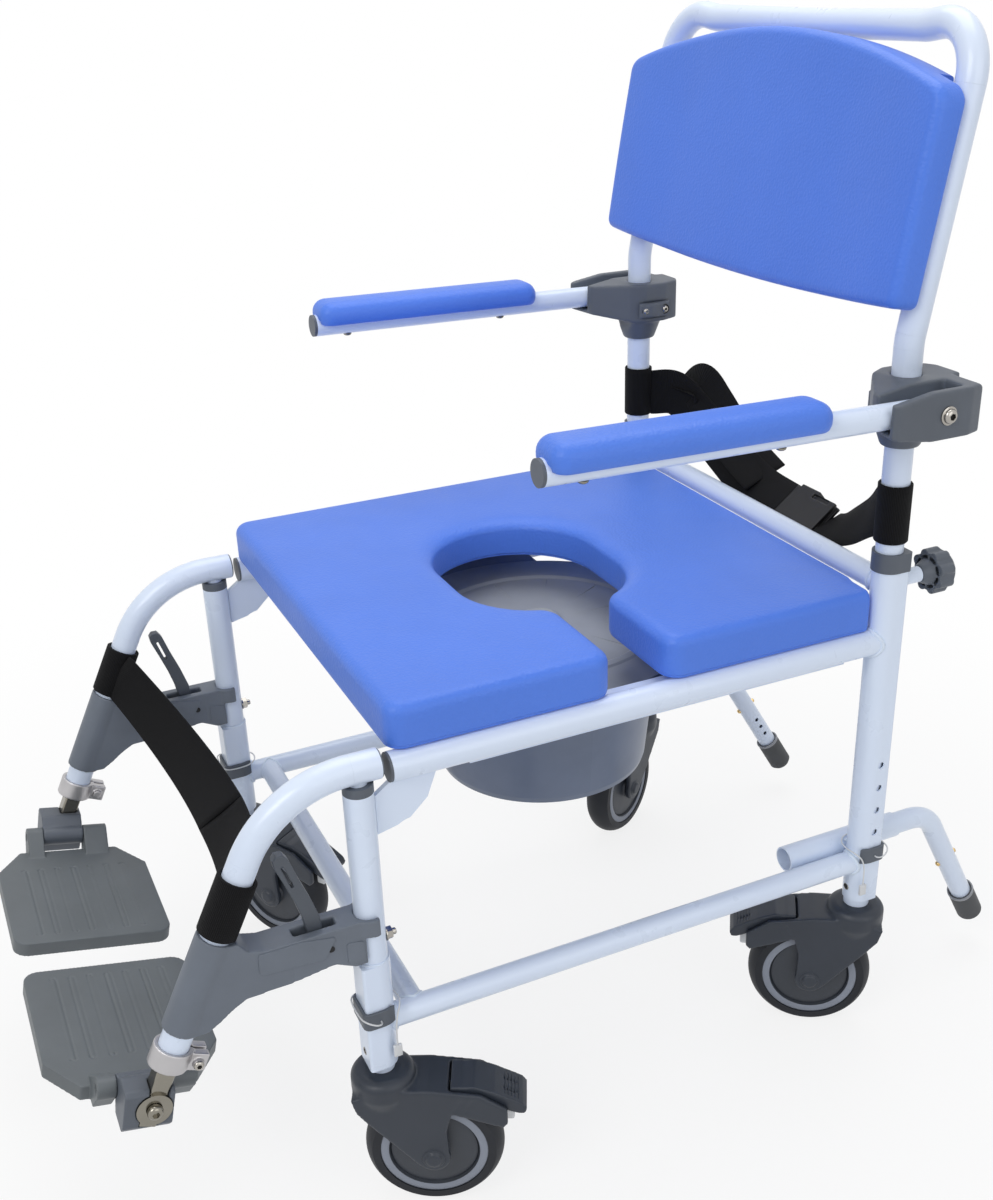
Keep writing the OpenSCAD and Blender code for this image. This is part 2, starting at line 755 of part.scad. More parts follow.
// Bracket hardware: pivot bolts through the pockets, clamp bands and band screws
module bracket_bolts() {
  px = leg_x + arm_out;
  x0 = px - r_small - 9;
  x1 = px + r_small + 0.4 + 9 + weld_gap;
  color("silver") place() both() {
    rod([x0, arm_y, arm_z], [x1 + 1, arm_y, arm_z], arm_bolt_d);
    rod([x1, arm_y, arm_z], [x1 + 1.5, arm_y, arm_z], 16);
    rod([x1 + 1, arm_y, arm_z], [x1 + 5, arm_y, arm_z], 11);
    translate([leg_x - 27 + weld_gap, leg_y - 15, arm_z - 15.5]) cube([2.6, 38, 17]);
    for (s = [-1, 1])
      rod([leg_x - 29, leg_y + 4 + 12 * s, arm_z - 7], [leg_x - 26, leg_y + 4 + 12 * s, arm_z - 7], 8);
  }
}

// Armrest tube, open at the rear and capped at the front
arm_dir = [0, -cos(arm_rise), sin(arm_rise)];
arm_o = [leg_x + arm_out, arm_y, arm_z];
module arm_tube(s) {
  color(white) place() side(s) difference() {
    pipe([arm_o - 16 * arm_dir, arm_o + arm_len * arm_dir], [], small_d);
    rod(arm_o - [30, 0, 0], arm_o + [30, 0, 0], arm_bolt_d + 2 * pin_gap);
  }
}

module arm_cap(s) {
  e = arm_o + arm_len * arm_dir;
  color(grey) place() side(s) {
    rod(e - 18 * arm_dir, e + 0.5 * arm_dir, small_d - 2 * tube_wall - 2 * weld_gap);
    rod(e + weld_gap * arm_dir, e + 3 * arm_dir, small_d);
  }
}

// Armrest pad: rounded moulding with a crowned top, grooved over the tube
module arm_pad(s) {
  w = arm_pad_w / 2;
  l = arm_pad_l;
  p = concat(
    arc([-w + 14, 14], 14, 180, 270, 5), arc([w - 14, 14], 14, 270, 360, 5),
    arc([w - 16, l - 16], 16, 0, 90, 5), arc([-w + 16, l - 16], 16, 90, 180, 5)
  );
  n = normals(p);
  h = arm_pad_h;
  q = [[2, 3], [6, 0.6], [10, 0], [h - 14, 0], [h - 7, 2], [h - 3, 5.5], [h - 1, 10], [h, 15]];
  // Rear end of the pad along the tube
  u = arm_len - 2 - l;
  color(blue) place() side(s) difference() {
    translate(arm_o) rotate([-arm_rise, 0, 0]) translate([0, -u - l, 0])
      skin([for (k = q) [for (i = [0 : len(p) - 1])
        let (a = p[i] + n[i] * k[1]) [a[0], a[1], k[0] + 0.6 * sin(180 * a[1] / l)]]]);
    rod(arm_o, arm_o + (arm_len + 20) * arm_dir, small_d + 2 * run_gap);
  }
}

// Knob that clamps the back post: lobed hand wheel, hub and stud
module back_knob(s) {
  y = boss_end + run_gap;
  color(grey) place() side(s) {
    translate([leg_x, 0, knob_z]) rotate([-90, 0, 0]) {
      translate([0, 0, y]) cylinder(d1 = 16, d2 = 26, h = 11);
      translate([0, 0, y + 10.5]) difference() {
        linear_extrude(20) {
          circle(d = 36);
          for (i = [0 : 7])
            rotate(45 * i + 22.5) translate([16, 0]) circle(d = 10.5);
        }
        translate([0, 0, -1]) difference() {
          cylinder(d = 31, h = 8);
          cylinder(d = 18, h = 20);
          for (i = [0 : 3])
            rotate(45 * i) cube([40, 2, 40], center = true);
        }
        translate([0, 0, 20]) rotate_extrude() polygon([[14, 2], [19, -4], [24, -4], [24, 2]]);
      }
      translate([0, 0, leg_y + r_tube + 0.6]) cylinder(d = stud_d, h = y - leg_y - r_tube + 2);
    }
  }
}

// Rounded rectangle of webbing wrapped round a tube between two heights
module strap_loop(a, b, d, t) {
  difference() {
    rod(a, b, d + 2 * run_gap + 2 * t);
    rod(a - unit(b - a), b + unit(b - a), d + 2 * run_gap);
  }
}

// Flat band through stations [point, width direction], of width w and thickness t
module band(st, w, t) {
  m = len(st);
  skin([for (i = [0 : m - 1])
    let (
      a = st[max(i - 1, 0)][0],
      b = st[min(i + 1, m - 1)][0],
      u = unit(b - a),
      v0 = st[i][1],
      v = unit(v0 - u * (u * v0)),
      n = cross(u, v)
    )
    [for (c = [[-1, -1], [1, -1], [1, 1], [-1, 1]]) st[i][0] + v * c[0] * w / 2 + n * c[1] * t / 2]
  ]);
}

// Chest belt: a loop on each post and two webs that hang behind the rear cross tube
belt_z = 572;
belt_x = leg_x - 10.3;
buckle_x = 56;
buckle_y = leg_y + 32;
buckle_z = 514;
belt_far = belt_run([-belt_x, leg_y + 9.8, belt_z - 2], [buckle_x - 32, buckle_y, buckle_z],
  [[26.7 / 240.7, 29, 56], [66.7 / 240.7, 37, 34], [116.7 / 240.7, 40, 14], [176.7 / 240.7, 38, -2]]);
belt_near = belt_run([buckle_x + 32, buckle_y, buckle_z], [belt_x, leg_y + 9.8, belt_z - 2],
  [[24 / 128.7, 31, 0.5], [62 / 128.7, 30, 24], [96 / 128.7, 25, 56]]);

// Points of a web from a to b: each between point is a share of the way across, then mm behind the legs and over the buckle
function belt_run(a, b, between) =
  concat([a], [for (k = between) [a[0] + (b[0] - a[0]) * k[0], leg_y + k[1], buckle_z + k[2]]], [b]);

module chest_belt() {
  color(black) place() {
    both() strap_loop([leg_x, leg_y, belt_z - 27], [leg_x, leg_y, belt_z + 27], tube_d, belt_t);
    for (route = [belt_far, belt_near])
      band([for (i = [0 : len(route) - 1])
        [route[i], i == 0 || i == len(route) - 1 ? [0, 0, 1] : [0, 0.1, 1]]], strap_w, belt_t);
  }
}

// Side-release buckle between the two webs
module belt_buckle() {
  color(black) place() translate([buckle_x, buckle_y, buckle_z]) difference() {
    union() {
      cube([63.5, 11, 46], center = true);
      translate([-12, 0, 0]) cube([30, 11, 54], center = true);
    }
    for (z = [-1, 1])
      translate([10, 0, 20 * z]) cube([26, 20, 5], center = true);
    translate([-31, 0, 0]) cube([4, 3.5, 51], center = true);
    translate([31, 0, 0]) cube([4, 3.5, 51], center = true);
  }
}

// Points of an arc, each with the weight of its edge rounding as a third value
function warc(c, r, a0, a1, n, w) = [for (p = arc(c, r, a0, a1, n)) [p[0], p[1], w]];

// Cushion outline seen from above: rounded square whose keyhole opens to the left side
seat_l = leg_base - seat_front - seat_rear;
seat_y = -leg_y + seat_front;
hole_o = [-13, -3];
function seat_parts() =
  let (
    w = leg_x + seat_over,
    y1 = seat_y + seat_l,
    r = 16,
    n = 18,
    f = 26,
    s0 = hole_o[1] + 2 - slot_w / 2,
    s1 = s0 + slot_w,
    b = hole_o + [hole_long, 0],
    c0 = [b[0] + sqrt(pow(hole_r + f, 2) - pow(s0 - f - b[1], 2)), s0 - f],
    c1 = [b[0] + sqrt(pow(hole_r + f, 2) - pow(s1 + f - b[1], 2)), s1 + f],
    a0 = atan2(b[1] - c0[1], c0[0] - b[0]),
    a1 = atan2(c1[1] - b[1], c1[0] - b[0])
  )
  [
    concat(
      [for (i = [5 : -1 : 0]) [-w, seat_y + r + (y1 - seat_y - 2 * r) * i / 6, 1]],
      warc([-w + r, seat_y + r], r, 190, 270, 4, 1),
      [for (i = [1 : 5]) [-w + r + (2 * w - 2 * r) * i / 6, seat_y, 1]],
      warc([w - r, seat_y + r], r, 270, 360, 5, 1),
      [for (i = [1 : 2]) [w, seat_y + r + (s0 - n - seat_y - r) * i / 3, 1]],
      warc([w - n, s0 - n], n, 0, 90, 5, 1)
    ),
    concat(
      warc(c0, f, 90, 180 - a0, 4, 1.1),
      warc(b, hole_r, -a0 - 8, -90, 5, 1.3),
      [for (i = [0 : 14]) let (t = -90 - 180 * i / 14)
        [hole_o[0] + hole_r * cos(t), hole_o[1] + hole_r * sin(t), 0.9 + 0.5 * abs(sin(t))]],
      warc(b, hole_r, 90, a1 + 8, 5, 1.3),
      warc(c1, f, 180 + a1, 270, 4, 1.1)
    ),
    concat(
      warc([w - n, s1 + n], n, 270, 360, 5, 1),
      [for (i = [1 : 2]) [w, s1 + n + (y1 - r - s1 - n) * i / 3, 1]],
      warc([w - r, y1 - r], r, 0, 90, 5, 1),
      [for (i = [1 : 5]) [w - r - (2 * w - 2 * r) * i / 6, y1, 1]],
      warc([-w + r, y1 - r], r, 90, 170, 4, 1)
    )
  ];

// Seat cushion: moulded foam with drawn-in lower edges, round upper edges and a dished rim
module seat_cushion() {
  parts = seat_parts();
  s = concat(parts[0], parts[1], parts[2]);
  p = [for (k = s) [k[0], k[1]]];
  n = normals(p);
  e = seat_edge;
  q = [
    [0, 0.35 * e], [0.2 * e, 0.08 * e], [0.55 * e, 0], [seat_t - e - 2, 0], [seat_t - 0.7 * e - 1.5, 0.08 * e],
    [seat_t - 0.4 * e - 1, 0.25 * e], [seat_t - 0.2 * e - 0.6, 0.5 * e], [seat_t - 0.06 * e - 0.3, 0.8 * e],
    [seat_t, 1.4 * e]
  ];
  // Row along the outside and row along the keyhole, with their angles clockwise from the slot
  n0 = len(parts[0]);
  n1 = len(parts[1]);
  outer = concat([for (i = [n0 - 1 : -1 : 0]) i], [for (i = [len(s) - 1 : -1 : n0 + n1]) i]);
  inner = [for (i = [n0 : n0 + n1 - 1]) i];
  o = hole_o + [hole_long / 2, 0];
  turn = [for (a = p) let (t = atan2(o[1] - a[1], a[0] - o[0])) t < 0 ? t + 360 : t];
  cap = zip(outer, inner, [for (i = outer) turn[i]], [for (i = inner) turn[i]]);
  color(blue) place() translate([0, 0, seat_z])
    skin([for (k = q) [for (i = [0 : len(p) - 1])
      let (a = p[i] + n[i] * k[1] * s[i][2]) [a[0], a[1], k[0]]]], cap);
}

// Pail: tapered bucket with a rolled rim and two wings that run in the tracks
pail_y = 14;
pail_top = track_top + run_gap + 3.7;
module pail() {
  r1 = pail_d / 2;
  r0 = pail_base_d / 2;
  z0 = pail_top - pail_h;
  color("#7d8285") place() translate([0, pail_y, 0]) {
    difference() {
      union() {
        rotate_extrude()
          polygon([
            [0, z0], [r0 - 8, z0], [r0 - 2, z0 + 3], [r0, z0 + 9], [r1, pail_top - 5],
            [r1 + 6, pail_top - 3.7], [r1 + 6, pail_top], [0, pail_top]
          ]);
        translate([-wing_x, -70, track_top + run_gap]) cube([2 * wing_x, 140, 3.7]);
      }
      rotate_extrude()
        polygon([
          [0, z0 + pail_wall], [r0 - 9, z0 + pail_wall], [r0 - 4, z0 + 5], [r0 - pail_wall, z0 + 10],
          [r1 - pail_wall, pail_top - 5], [r1 - pail_wall, pail_top + 1], [0, pail_top + 1]
        ]);
      for (s = [-1, 1])
        for (t = [-1, 1])
          translate([s * wing_x, t * 70, track_top]) rotate(45) cube([22, 22, 20], center = true);
    }
  }
}

// Pail lid: shallow dished cover with radial ribs and a finger ring
module pail_lid() {
  z = pail_top + run_gap;
  r = pail_d / 2 + 2;
  color("#84898c") place() translate([0, pail_y, 0]) {
    rotate_extrude()
      polygon([
        [0, z + 1], [lid_ring_d / 2 - 8, z + 1], [lid_ring_d / 2 - 7, z + 7], [lid_ring_d / 2 - 4, z + 10],
        [lid_ring_d / 2 - 1, z + 9], [lid_ring_d / 2 + 1, z + 4], [r - 14, z + 2.4], [r - 10, z + 4.4],
        [r - 3, z + 4], [r, z + 2], [r, z], [r - 12, z], [r - 16, z], [0, z]
      ]);
    for (i = [0 : 11])
      rotate(30 * i) translate([lid_ring_d / 2 + 6, -0.8, z + 1]) cube([r - lid_ring_d / 2 - 24, 1.6, 2.4]);
  }
}

// Frame of the hanger's slope: Z up along the tube, Y to the rear
module on_slope(z) {
  translate(slope(z)) rotate([-hanger_slope, 0, 0]) children();
}

// Hanger: tube with its swing pin
module hanger_tube(s) {
  color(white) place() side(s) {
    pipe([[leg_x, -leg_y + 18, hanger_z], [leg_x, hanger_y, hanger_z], slope(hanger_end_z)], [0, hanger_r, 0], tube_d);
    translate([leg_x, -leg_y, front_leg_top - 36]) cylinder(d = pivot_d, h = hanger_z - 4 - front_leg_top + 36);
  }
}

// Latch housing: socket on the sloping tube, arm to the leg, jaws and lever slot
latch_z = 311;
latch_y = -leg_y - 47;
module latch_housing(s) {
  zb = latch_z - 36;
  zt = latch_z + 6;
  color(grey) place() side(s) {
    difference() {
      union() {
        rod(slope(latch_z - 53), slope(latch_z + 24), socket_d);
        translate([leg_x - latch_w / 2, 0, 0]) rotate([90, 0, 90]) linear_extrude(latch_w)
          polygon([
            [-leg_y - 8, zb], [-leg_y - 18, zb - 1], [-leg_y - 36, zb + 8], [-leg_y - 70, zb + 3],
            [slope(zb + 2)[1] + 58, zb + 2], [slope(zb + 1)[1] + 43, zb + 1], [slope(zb - 6)[1] + 34, zb - 6],
            [slope(zb - 13)[1] + 28, zb - 13], [slope(zb - 20)[1] + 20, zb - 20], [slope(zb - 18)[1], zb - 18],
            [slope(zt + 14)[1], zt + 14], [slope(zt + 14)[1] + 16, zt + 14], [slope(zt + 4)[1] + 28, zt + 4],
            [slope(zt)[1] + 44, zt], [-leg_y - 8, zt]
          ]);
        // Upper jaw round the leg
        translate([leg_x, -leg_y, latch_z - 10]) cylinder(r = r_tube + 5.5, h = 16);
      }
      // Sloping tube, leg and open back of the jaw
      rod(slope(latch_z - 80), slope(latch_z + 60), tube_d + 2 * weld_gap);
      translate([leg_x, -leg_y, latch_z - 60]) cylinder(r = r_tube + 0.4, h = 90);
      translate([leg_x - 40, -leg_y + 4, latch_z - 60]) cube([80, 40, 90]);
      // Lever slot
      translate([leg_x - lever_t / 2 - 0.6, latch_y - 19, latch_z - 23]) cube([lever_t + 1.2, 36, 60]);
      // Panel lines on both faces of the arm
      for (t = [-1, 1])
        translate([leg_x + t * latch_w / 2, 0, 0]) {
          translate([0, latch_y - 24, latch_z - 14]) cube([1.6, 2, 46], center = true);
          translate([0, latch_y + 20, latch_z - 14]) cube([1.6, 2, 30], center = true);
        }
    }
    rod([leg_x - latch_w / 2 + 2, latch_y, latch_z], [leg_x + latch_w / 2 - 2, latch_y, latch_z], 5);
    // Plug in the hanger tube's rear end
    rod([leg_x, -leg_y + 6 + pivot_d / 2, hanger_z], [leg_x, -leg_y + 18.5, hanger_z], tube_id - 2 * weld_gap);
    rod([leg_x, -leg_y + 18 + weld_gap, hanger_z], [leg_x, -leg_y + 19.8, hanger_z], tube_d - 0.6);
  }
}

// Release lever: curved thumb lever with a lightening slot
module latch_lever(s) {
  color("#5d6166") place() side(s) translate([leg_x - lever_t / 2, latch_y, latch_z]) rotate([90, 0, 90])
    linear_extrude(lever_t)
      difference() {
        polygon([
          [-5, -17], [-6, 1], [-9, 18], [-14, 36], [-21, 56], [-27, 72], [-28, 79], [-25, 83], [-19, 83],
          [-15, 77], [-9, 58], [-1, 36], [5, 16], [6, 2], [5, -17]
        ]);
        circle(d = 5 + 2 * pin_gap);
        polygon([[-15, 50], [-13, 51], [-20, 73], [-22, 72]]);
      }
}

// Clamp collar at the end of the hanger tube: split ring, ears and cross screw
module clamp_collar(s) {
  color("silver") place() side(s) on_slope(hanger_end_z) {
    difference() {
      union() {
        translate([0, 0, -5]) cylinder(d = tube_d + 7.6, h = 18);
        translate([-9, 8, -4]) cube([18, 21, 16]);
      }
      translate([0, 0, -weld_gap]) cylinder(d = tube_d + 2 * weld_gap, h = 30);
      translate([0, 0, -10]) linear_extrude(20) square(bar_w + 2 * run_gap, center = true);
      translate([-1.5, 6, -6]) cube([3, 30, 20]);
    }
    translate([-11, 21, 4]) rotate([0, 90, 0]) cylinder(d = 5, h = 22);
    translate([9 - 0.5, 21, 4]) rotate([0, 90, 0]) cylinder(d = 9, h = 4.5);
    translate([-13, 21, 4]) rotate([0, 90, 0]) cylinder(d = 9, h = 4.5, $fn = 6);
  }
}

// Rounded square
module soft_square(w, r) {
  square([w, w - 2 * r], center = true);
  square([w - 2 * r, w], center = true);
  for (x = [-1, 1])
    for (y = [-1, 1])
      translate([x * (w / 2 - r), y * (w / 2 - r)]) circle(r = r);
}

// Footrest bar with the large washer and screw that carry the hinge block
foot_z0 = 194;
module footrest_bar(s) {
  color("silver") place() side(s) {
    on_slope(hanger_end_z) translate([0, 0, -60]) linear_extrude(208) soft_square(bar_w, 2.5);
    translate(slope(foot_z0)) rotate([0, 90, 0]) {
      translate([0, 0, bar_w / 2 - 0.5]) cylinder(d = 29, h = 3);
      translate([0, 0, bar_w / 2 + 2]) cylinder(d = 12, h = 4);
    }
  }
}

// Frame of the footplate hinge: Y along the pin to the rear
hinge_in = 25;
plate_in = 15;
plate_w = leg_x - hinge_in - plate_in - plate_gap / 2;
hinge_o = slope(foot_z0) + [-hinge_in, 0, 1];
module on_hinge() {
  translate(hinge_o) rotate([-plate_tilt, 0, 0]) children();
}

// Hinge block: moulded carrier clamped on the bar, with the hinge barrel and pin
module hinge_block(s) {
  color(grey) place() side(s) {
    difference() {
      on_hinge() union() {
        translate([0, 16, 0]) rotate([90, 0, 0]) linear_extrude(40)
          union() {
            polygon([[0, -8], [6, -22], [30, -22], [35, -16], [35, 14], [31, 17], [12, 17], [0, 8]]);
            circle(d = barrel_d);
          }
        translate([0, 38, 0]) rotate([90, 0, 0]) cylinder(d = hinge_d, h = 76);
      }
      // Channel for the bar, open to the outside
      on_slope(hanger_end_z) translate([-bar_w / 2 - weld_gap, -bar_w / 2 - weld_gap, -60 - weld_gap])
        cube([60, bar_w + 2 * weld_gap, 208]);
      // Seat of the washer
      translate(slope(foot_z0) + [bar_w / 2 - 0.5 - weld_gap, 0, 0]) rotate([0, 90, 0]) cylinder(d = 30, h = 40);
    }
  }
}

// Footplate: chamfered slab with grip grooves and two hinge lugs
module footplate(s) {
  x0 = -plate_in;
  top = -9;
  h = plate_l / 2;
  pitch = (plate_l - 50) / (groove_n - 1);
  color("#6a6f74") place() side(s) on_hinge() difference() {
    union() {
      translate([x0, 0, top - plate_t]) linear_extrude(plate_t)
        union() {
          polygon([
            [0, -h + 25], [0, h - 25], [-36, h], [-plate_w + 14, h], [-plate_w, h - 14],
            [-plate_w, -h + 14], [-plate_w + 14, -h], [-36, -h]
          ]);
          for (t = [-1, 1])
            translate([-plate_w + 14, t * (h - 14)]) circle(r = 14);
        }
      for (y = [[-40, -24 - run_gap], [16 + run_gap, 40]])
        translate([0, y[1], 0]) rotate([90, 0, 0]) linear_extrude(y[1] - y[0])
          union() {
            circle(d = barrel_d);
            polygon([[-5, 8], [-28, top], [-28, top - 4], [x0 - 1, top - plate_t], [-5, top - plate_t], [9, -3]]);
          }
    }
    translate([0, 60, 0]) rotate([90, 0, 0]) cylinder(d = hinge_d + 2 * pin_gap, h = 120);
    // Grip grooves
    for (i = [0 : groove_n - 1])
      translate([x0 - 34, (i - (groove_n - 1) / 2) * pitch, top - 1.2]) linear_extrude(5)
        difference() {
          union() {
            translate([-plate_w + 50, -3.2]) square([plate_w - 50 - 3.2, 6.4]);
            translate([-3.2, 0]) circle(r = 3.2);
            translate([-plate_w + 50, 0]) circle(r = 3.2);
          }
          translate([-plate_w + 50, -1.6]) square([plate_w - 50 - 3.2, 3.2]);
          translate([-3.2, 0]) circle(r = 1.6);
          translate([-plate_w + 50, 0]) circle(r = 1.6);
        }
  }
}

// Calf strap: a loop on each hanger and half of the sagging band between them
calf_z = 360.2;
calf_sag = 61;
module calf_strap(s) {
  x1 = leg_x - r_tube - run_gap - calf_t - 1.5;
  m = slope(calf_z);
  u = strap_w / 2;
  color(black) place() side(s) {
    strap_loop(m - u * slope_up, m + u * slope_up, tube_d, calf_t);
    band([for (i = [0 : 8]) let (k = 1 - i / 8, x = 0.25 + (x1 - 0.25) * k)
      [[x, m[1] + 46 * (1 - k * k), calf_z - calf_sag * (1 - k * k)], unit([0, 0.86 - 0.42 * k, 0.51 + 0.39 * k])]],
      strap_w, calf_t);
  }
}

// Anti-tip tube: slides in its receiver and turns down behind the chair
tip_d = tube_id - 2 * slide_gap;
tip_dir = unit([-0.095, tan(tip_angle), -1]);
tip_o = [tip_x, leg_y + tip_reach, receiver_z];
tip_end = tip_o + tip_dir * ((receiver_z - foot_z - 8) / -tip_dir[2]);
module antitip_tube(s) {
  color(white) place() side(s) {
    difference() {
      pipe([[tip_x, receiver_y + 32, receiver_z], tip_o, tip_end], [0, tip_r, 0], tip_d);
      for (i = [0 : 2])
        rod(tip_end - tip_dir * (58 + 13 * i) - [20, 0, 0], tip_end - tip_dir * (58 + 13 * i) + [0, 0, 0], 5);
    }
  }
}

// Rubber foot on the anti-tip tube
module antitip_foot(s) {
  v = tip_dir;
  color("#55585c") place() side(s)
    translate(tip_end) rotate([0, acos(v[2]), atan2(v[1], v[0])])
      rotate_extrude()
        polygon([
          [tip_d / 2 + slide_gap, -38], [foot_d / 2 - 1, -38], [foot_d / 2, -36], [foot_d / 2, 4], [foot_d / 2 - 3, 8],
          [0, 8], [0, run_gap], [tip_d / 2 + slide_gap, run_gap]
        ]);
}

// Front edge of the footplates, rear of the anti-tip feet, and the shift that centres the part
y_front = hinge_o[1] - plate_l / 2 * cos(plate_tilt) - (9 + plate_t) * sin(plate_tilt);
y_rear = tip_end[1] + 4 * tip_dir[1] + foot_d / 2 * sqrt(1 - pow(tip_dir[1], 2));
y_shift = -(y_front + y_rear) / 2;

frame_legs();
frame_rails();
antitip_receivers();
pail_tracks();
frame_bushes();
height_clips();
leg_extensions();
caster_at(1, -1, turn_fl) fork();  // front_left_fork
caster_at(1, -1, turn_fl) wheel();  // front_left_wheel
caster_at(1, -1, turn_fl) tyre();  // front_left_tyre
caster_at(1, -1, turn_fl) pedal();  // front_left_pedal
caster_at(-1, -1, turn_fr) fork();  // front_right_fork
caster_at(-1, -1, turn_fr) wheel();  // front_right_wheel
caster_at(-1, -1, turn_fr) tyre();  // front_right_tyre
caster_at(-1, -1, turn_fr) pedal();  // front_right_pedal
caster_at(1, 1, turn_rl) fork();  // rear_left_fork
caster_at(1, 1, turn_rl) wheel();  // rear_left_wheel
caster_at(1, 1, turn_rl) tyre();  // rear_left_tyre
caster_at(1, 1, turn_rl) pedal();  // rear_left_pedal
caster_at(-1, 1, turn_rr) fork();  // rear_right_fork
caster_at(-1, 1, turn_rr) wheel();  // rear_right_wheel
caster_at(-1, 1, turn_rr) tyre();  // rear_right_tyre
caster_at(-1, 1, turn_rr) pedal();  // rear_right_pedal
back_frame();
back_pad();
arm_brackets();
bracket_bolts();
chest_belt();
belt_buckle();
back_knob(1);  // left_back_knob
back_knob(-1);  // right_back_knob
arm_tube(1);  // left_arm_tube
arm_cap(1);  // left_arm_cap
arm_pad(1);  // left_arm_pad
arm_tube(-1);  // right_arm_tube
arm_cap(-1);  // right_arm_cap
arm_pad(-1);  // right_arm_pad
seat_cushion();
pail();
pail_lid();
hanger_tube(1);  // left_hanger_tube
latch_housing(1);  // left_latch_housing
latch_lever(1);  // left_latch_lever
clamp_collar(1);  // left_clamp_collar
footrest_bar(1);  // left_footrest_bar
hinge_block(1);  // left_hinge_block
footplate(1);  // left_footplate
calf_strap(1);  // left_calf_strap
hanger_tube(-1);  // right_hanger_tube
latch_housing(-1);  // right_latch_housing
latch_lever(-1);  // right_latch_lever
clamp_collar(-1);  // right_clamp_collar
footrest_bar(-1);  // right_footrest_bar
hinge_block(-1);  // right_hinge_block
footplate(-1);  // right_footplate
calf_strap(-1);  // right_calf_strap
antitip_tube(1);  // left_antitip_tube
antitip_foot(1);  // left_antitip_foot
antitip_tube(-1);  // right_antitip_tube
antitip_foot(-1);  // right_antitip_foot
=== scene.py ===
"""Dresses the shower commode chair: finishes, foam pads, webbing, small fittings and the studio."""
import json
import math

import bmesh
import bpy
from mathutils import Matrix, Vector
from mathutils.geometry import delaunay_2d_cdt


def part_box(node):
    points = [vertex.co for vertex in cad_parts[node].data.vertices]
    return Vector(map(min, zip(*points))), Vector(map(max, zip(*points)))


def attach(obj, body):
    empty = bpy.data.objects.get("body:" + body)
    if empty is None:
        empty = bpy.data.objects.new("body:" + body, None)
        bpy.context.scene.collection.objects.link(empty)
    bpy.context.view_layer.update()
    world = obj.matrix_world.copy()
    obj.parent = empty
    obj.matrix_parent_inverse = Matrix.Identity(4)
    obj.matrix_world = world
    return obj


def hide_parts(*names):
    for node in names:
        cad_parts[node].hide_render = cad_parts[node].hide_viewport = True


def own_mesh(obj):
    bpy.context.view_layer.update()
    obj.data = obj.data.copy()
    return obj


bl_info = {
    "name": "Shower commode chair",
    "version": (1, 0, 0),
    "blender": (4, 5, 0),
    "location": "3D View > Sidebar > Chair",
    "description": "Finishes, foam pads, webbing and fittings for a wheeled shower commode chair",
    "category": "Object",
}

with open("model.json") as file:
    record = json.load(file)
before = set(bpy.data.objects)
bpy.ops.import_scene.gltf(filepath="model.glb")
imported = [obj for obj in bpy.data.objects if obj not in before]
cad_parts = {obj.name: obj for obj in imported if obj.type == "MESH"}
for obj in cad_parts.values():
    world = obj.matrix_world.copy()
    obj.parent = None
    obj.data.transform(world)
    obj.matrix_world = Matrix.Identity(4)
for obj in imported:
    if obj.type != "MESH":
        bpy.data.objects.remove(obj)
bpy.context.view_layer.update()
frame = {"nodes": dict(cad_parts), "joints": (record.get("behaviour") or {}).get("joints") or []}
JOINTS = {j["name"]: j for j in frame["joints"]}
# Middle between the front and the rear legs, which the chair's own lengths are counted from
Y0 = (JOINTS["front_left_swivel"]["pos_m"][1] + JOINTS["rear_left_swivel"]["pos_m"][1]) / 2
LEG_X = JOINTS["front_left_swivel"]["pos_m"][0] * 1000
LEG_Y = 256.0
SIDES = (("left", 1), ("right", -1))
CORNERS = {"front_left": (1, -1), "front_right": (-1, -1), "rear_left": (1, 1), "rear_right": (-1, 1)}

# Radius of the frame's tubes, the gap of a piece that lies on one, half the width of the D-section legs,
# and the heights of the rails, in mm
TUBE_R, RUN_GAP = 12.7, 0.3
LEG_HALF = 14.3
SEAT_RAIL_Z, LOWER_RAIL_Z = 446, 201
# Anti-tip receiver beside the rear leg, and the arm bracket's clamp on the post
RECEIVER_X, RECEIVER_Z = LEG_X - LEG_HALF - TUBE_R - 0.1, 207
CLAMP_Y, CLAMP_Z = LEG_Y + 4, 669
# The armrest tube rises a little to the front, and the hanger tube slopes down to the footplate
ARM_LENGTH = 362
ARM_RISE = math.radians(1.0)
ARM_FORE = Vector((0, -math.cos(ARM_RISE), math.sin(ARM_RISE)))
ARM_UP = Vector((0, math.sin(ARM_RISE), math.cos(ARM_RISE)))
HANGER_LEAN = math.radians(26)
HANGER_UP = Vector((0, math.sin(HANGER_LEAN), math.cos(HANGER_LEAN)))


def at(x, y, z):
    """Chair millimetres to scene metres."""
    return Vector((x / 1000, y / 1000 + Y0, z / 1000))


def arm_pivot(s):
    """Pivot of the armrest on side s, in chair millimetres."""
    return Vector((s * (LEG_X + 40), LEG_Y - 4, 676))


def hanger_y(z):
    """Place along the chair of the sloping hanger tube's axis at height z, in chair millimetres."""
    return -LEG_Y - 68.4 - math.tan(HANGER_LEAN) * (452 - z)


